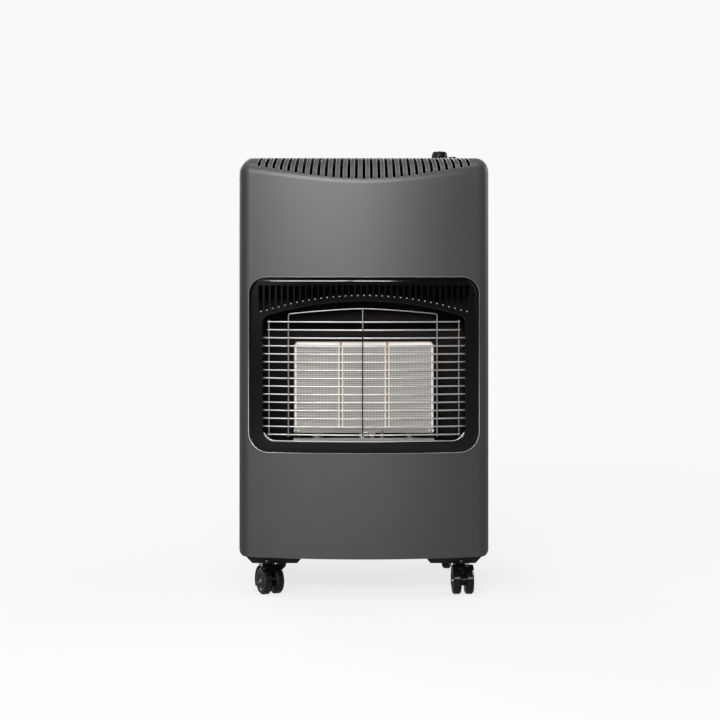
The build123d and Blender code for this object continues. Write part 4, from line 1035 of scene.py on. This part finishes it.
def make_bezel_edge():
    """The thin raised edge of the panel round the bezel."""
    top_x, low_x = BEZEL_HALF - BEZEL_TOP_CORNER, BEZEL_HALF - BEZEL_LOW_CORNER
    top_z, low_z = BEZEL_HIGH - BEZEL_TOP_CORNER, BEZEL_LOW + BEZEL_LOW_CORNER
    top_radius, low_radius = BEZEL_TOP_CORNER + EDGE_OUTSET, BEZEL_LOW_CORNER + EDGE_OUTSET
    points = corner_points(-top_x, top_z, top_radius, 180.0, 90.0)
    points += level_points(-top_x, top_x, BEZEL_HIGH + EDGE_OUTSET)
    points += corner_points(top_x, top_z, top_radius, 90.0, 0.0)
    points += corner_points(low_x, low_z, low_radius, 0.0, -90.0)
    points += level_points(low_x, -low_x, BEZEL_LOW - EDGE_OUTSET)
    points += corner_points(-low_x, low_z, low_radius, -90.0, -180.0)
    edge = wire_on_bow("bezel_edge", points, 0.0, EDGE_RADIUS, is_closed=True)
    # The edge's lighter paint is a painted highlight, brightest at the bezel's lower corners.
    dress(edge, "bezel_edge", "cabinet", "cabinet_paint", smooth=60.0, material="painted_edge_highlight")


# Castors and screws


def turned_by(degrees, x, y):
    """A point turned about the upright axis."""
    turn = math.radians(degrees)
    return x * math.cos(turn) - y * math.sin(turn), x * math.sin(turn) + y * math.cos(turn)


def hub_cap(place, facing):
    """A dished cap with a raised middle and six ribs, standing on the side of a wheel."""
    cap = disc(CAP_RADIUS, -CAP_DEPTH, 0.0, CAP_SIDES)
    step_top(cap, CAP_STEPS)
    pieces = [cap]
    for index in range(RIB_COUNT):
        turn = index * 2 * math.pi / RIB_COUNT
        out = Vector((math.cos(turn), math.sin(turn), 0.0))
        rib = rod(out * RIB_INNER, out * RIB_OUTER, RIB_RADIUS, RIB_SIDES)
        rib.location.z = RIB_Z
        pieces.append(settle(rib))
    return stand(joined(pieces), place, facing)


def make_hub_caps():
    """A cap on the outer side of each wheel."""
    for castor, (x, y, yaw) in CASTORS.items():
        for side, name in ((-1, "left"), (1, "right")):
            along, back = turned_by(yaw, side * (WHEEL_OUTER - CAP_SINK), -WHEEL_TRAIL)
            facing = (*turned_by(yaw, side, 0.0), 0.0)
            cap = hub_cap((x + along, y + back, WHEEL_RADIUS), facing)
            wheel = castor + "_" + name
            dress(cap, "hub_cap_" + wheel, "wheel_" + wheel, "castor_black", smooth=30.0)


def screw_head(place, facing, radius, height):
    """A round screw head with a cross recess."""
    head = disc(radius, 0.0, height, SCREW_SIDES)
    step_top(head, [(radius * width, height * rise) for width, rise in SCREW_STEPS])
    for turn in (0.0, math.pi / 2):
        bpy.ops.mesh.primitive_cube_add(
            size=1.0, location=(0.0, 0.0, height * RECESS_MIDDLE), rotation=(0.0, 0.0, turn)
        )
        cut = bpy.context.object
        cut.scale = (radius * RECESS_LENGTH, radius * RECESS_WIDTH, height * RECESS_HEIGHT)
        settle(cut)
        use(head, "BOOLEAN", operation="DIFFERENCE", object=cut, solver="EXACT")
        bpy.data.objects.remove(cut)
    return stand(head, place, facing)


def make_foot_screws():
    """The bright screws in the sloping fronts and backs of the feet."""
    lean = math.radians(FOOT_LEAN)
    reach = FOOT_FRONT_Y - (FOOT_TOP - FOOT_SCREW_Z) * math.tan(lean)
    heads = []
    for end in (-1, 1):
        facing = (0.0, end * math.cos(lean), -math.sin(lean))
        for side in (-1, 1):
            place = (side * FOOT_SCREW_X, end * reach, FOOT_SCREW_Z)
            heads.append(screw_head(place, facing, FOOT_SCREW_RADIUS, FOOT_SCREW_HEIGHT))
    dress(joined(heads), "foot_screws", "cabinet", "bolt_zinc", smooth=30.0)


def make_leg_screws():
    """The pale screws at the feet of the burner's tray."""
    facing = (0.0, -1.0, 0.0)
    heads = []
    for side in (-1, 1):
        for step in (-LEG_SCREW_STEP, LEG_SCREW_STEP):
            place = (side * LEG_SCREW_X + step, TRAY_FACE_Y, LEG_SCREW_Z)
            heads.append(screw_head(place, facing, LEG_SCREW_RADIUS, LEG_SCREW_HEIGHT))
    screws = joined(heads)
    dress(screws, "leg_screws", "cabinet", "burner_steel", smooth=30.0, material="bolt_zinc")


# Dial


def is_end(face):
    """Whether a face of a rod is one of its ends: those have more corners than its sides."""
    return len(face.vertices) > 4


def make_dial_marks():
    """Raised marks on the dial: a row of growing bars with rounded ends."""
    marks = []
    z = DIAL_TOP - MARK_SINK
    for turn, length in MARKS.items():
        ends = []
        for reach in (MARK_INNER, MARK_INNER + length):
            along, back = turned_by(turn, 0.0, reach)
            ends.append((KNOB_X + along, KNOB_Y + back, z))
        mark = rod(*ends, MARK_RADIUS, MARK_SIDES)
        edit(mark)
        choose(mark, is_end)
        bpy.ops.mesh.bevel(offset=MARK_ROUNDING, segments=3)
        leave()
        marks.append(mark)
    row = joined(marks)
    dress(row, "dial_marks", "cabinet", "dial_black", smooth=40.0, material="marking_ink")


# Studio


def make_lamp(name, place, target, width, height, power):
    """A soft rectangular lamp that faces its target and that the camera doesn't see."""
    light = bpy.data.lights.new(name, "AREA")
    light.shape = "RECTANGLE"
    light.size = width
    light.size_y = height
    light.energy = power
    lamp = add_object(name, light)
    lamp.location = place
    lamp.rotation_euler = turn_to(Vector(target) - Vector(place), "-Z")
    lamp.visible_camera = False


def make_world():
    """A pale background, dimmer as a light, and in reflections a bright back and left side."""
    world = bpy.data.worlds.new("studio")
    bpy.context.scene.world = world
    finish = Finish(world)
    finish.tree.nodes.clear()

    def glow(level, strength):
        """A background of one grey level."""
        inputs = {"Color": grey(level), "Strength": strength}
        return finish.node("ShaderNodeBackground", inputs)

    across = finish.axis("X", "Generated")
    height = finish.axis("Z", "Generated")
    back = finish.axis("Y", "Generated").step(*MIRROR_BACK_Y)
    above = height.step(*MIRROR_ABOVE_Z)
    left = across.step(*MIRROR_LEFT_NEAR_X) * across.step(*MIRROR_LEFT_FAR_X)
    left = left * height.step(*MIRROR_LEFT_Z)
    strength = back * (above * MIRROR_ABOVE + MIRROR_BACK) + left * MIRROR_LEFT + MIRROR_REST
    seen = finish.ray("Camera") + finish.ray("Transmission")
    unseen = finish.blend(finish.ray("Glossy"), glow(1.0, AMBIENT_STRENGTH), glow(1.0, strength))
    whole = finish.blend(seen.limited(), unseen, glow(BACKDROP_LEVEL, 1.0))
    finish.node("ShaderNodeOutputWorld", {"Surface": whole.outputs[0]})


def make_floor():
    """A plain pale floor that keeps a soft shadow."""
    bpy.ops.mesh.primitive_plane_add(size=FLOOR_SIZE, location=(0.0, 0.0, 0.0))
    floor = bpy.context.object
    floor.name = "studio_floor"
    finish = Finish(bpy.data.materials.new("studio_floor"))
    seen = finish.ray("Camera") + finish.ray("Transmission") + finish.ray("Glossy") * FLOOR_SHINE
    x, y = finish.axis("X"), finish.axis("Y")
    away = (x * x + y * y) ** 0.5
    dim = finish.node("ShaderNodeBsdfDiffuse", {"Color": grey(FLOOR_DIM)})
    pale = finish.node("ShaderNodeBsdfDiffuse", {"Color": grey(FLOOR_PALE)})
    glow = finish.node("ShaderNodeEmission", {"Color": grey(FLOOR_GLOW), "Strength": 1.0})
    share = seen * (GLOW_NEAR + away.step(*GLOW_REACH) * GLOW_FAR)
    whole = finish.blend(share, finish.blend(seen, dim, pale), glow)
    finish.tree.nodes.remove(finish.tree.nodes["Principled BSDF"])
    finish.feed(finish.tree.nodes["Material Output"].inputs["Surface"], whole.outputs[0])
    floor.data.materials.append(finish.owner)


def make_camera():
    """A level camera at the photograph's distance, framed as the photograph is."""
    data = bpy.data.cameras.new("camera")
    data.lens = CAMERA_LENS
    data.sensor_width = CAMERA_SENSOR
    data.shift_x = (PHOTO_SIZE / 2 - PHOTO_CENTRE_X) / PHOTO_SIZE
    data.shift_y = (PHOTO_HORIZON - PHOTO_SIZE / 2) / PHOTO_SIZE
    data.clip_end = CAMERA_CLIP_END
    camera = add_object("camera", data)
    camera.location = CAMERA_PLACE
    camera.rotation_euler = (math.pi / 2, 0.0, 0.0)
    bpy.context.scene.camera = camera


make_camera()
paint_nodes()
make_guard()
for side in ("left", "centre", "right"):
    make_plaque("ceramic_plaque_" + side)
make_slot_lips()
make_sills()
make_lip_highlight()
make_bezel_edge()
make_leg_screws()
make_hub_caps()
make_foot_screws()
make_dial_marks()
make_world()
make_floor()
for lamp_name, lamp_settings in LAMPS.items():
    make_lamp(lamp_name, *lamp_settings)
bpy.context.scene.view_settings.view_transform = "Standard"
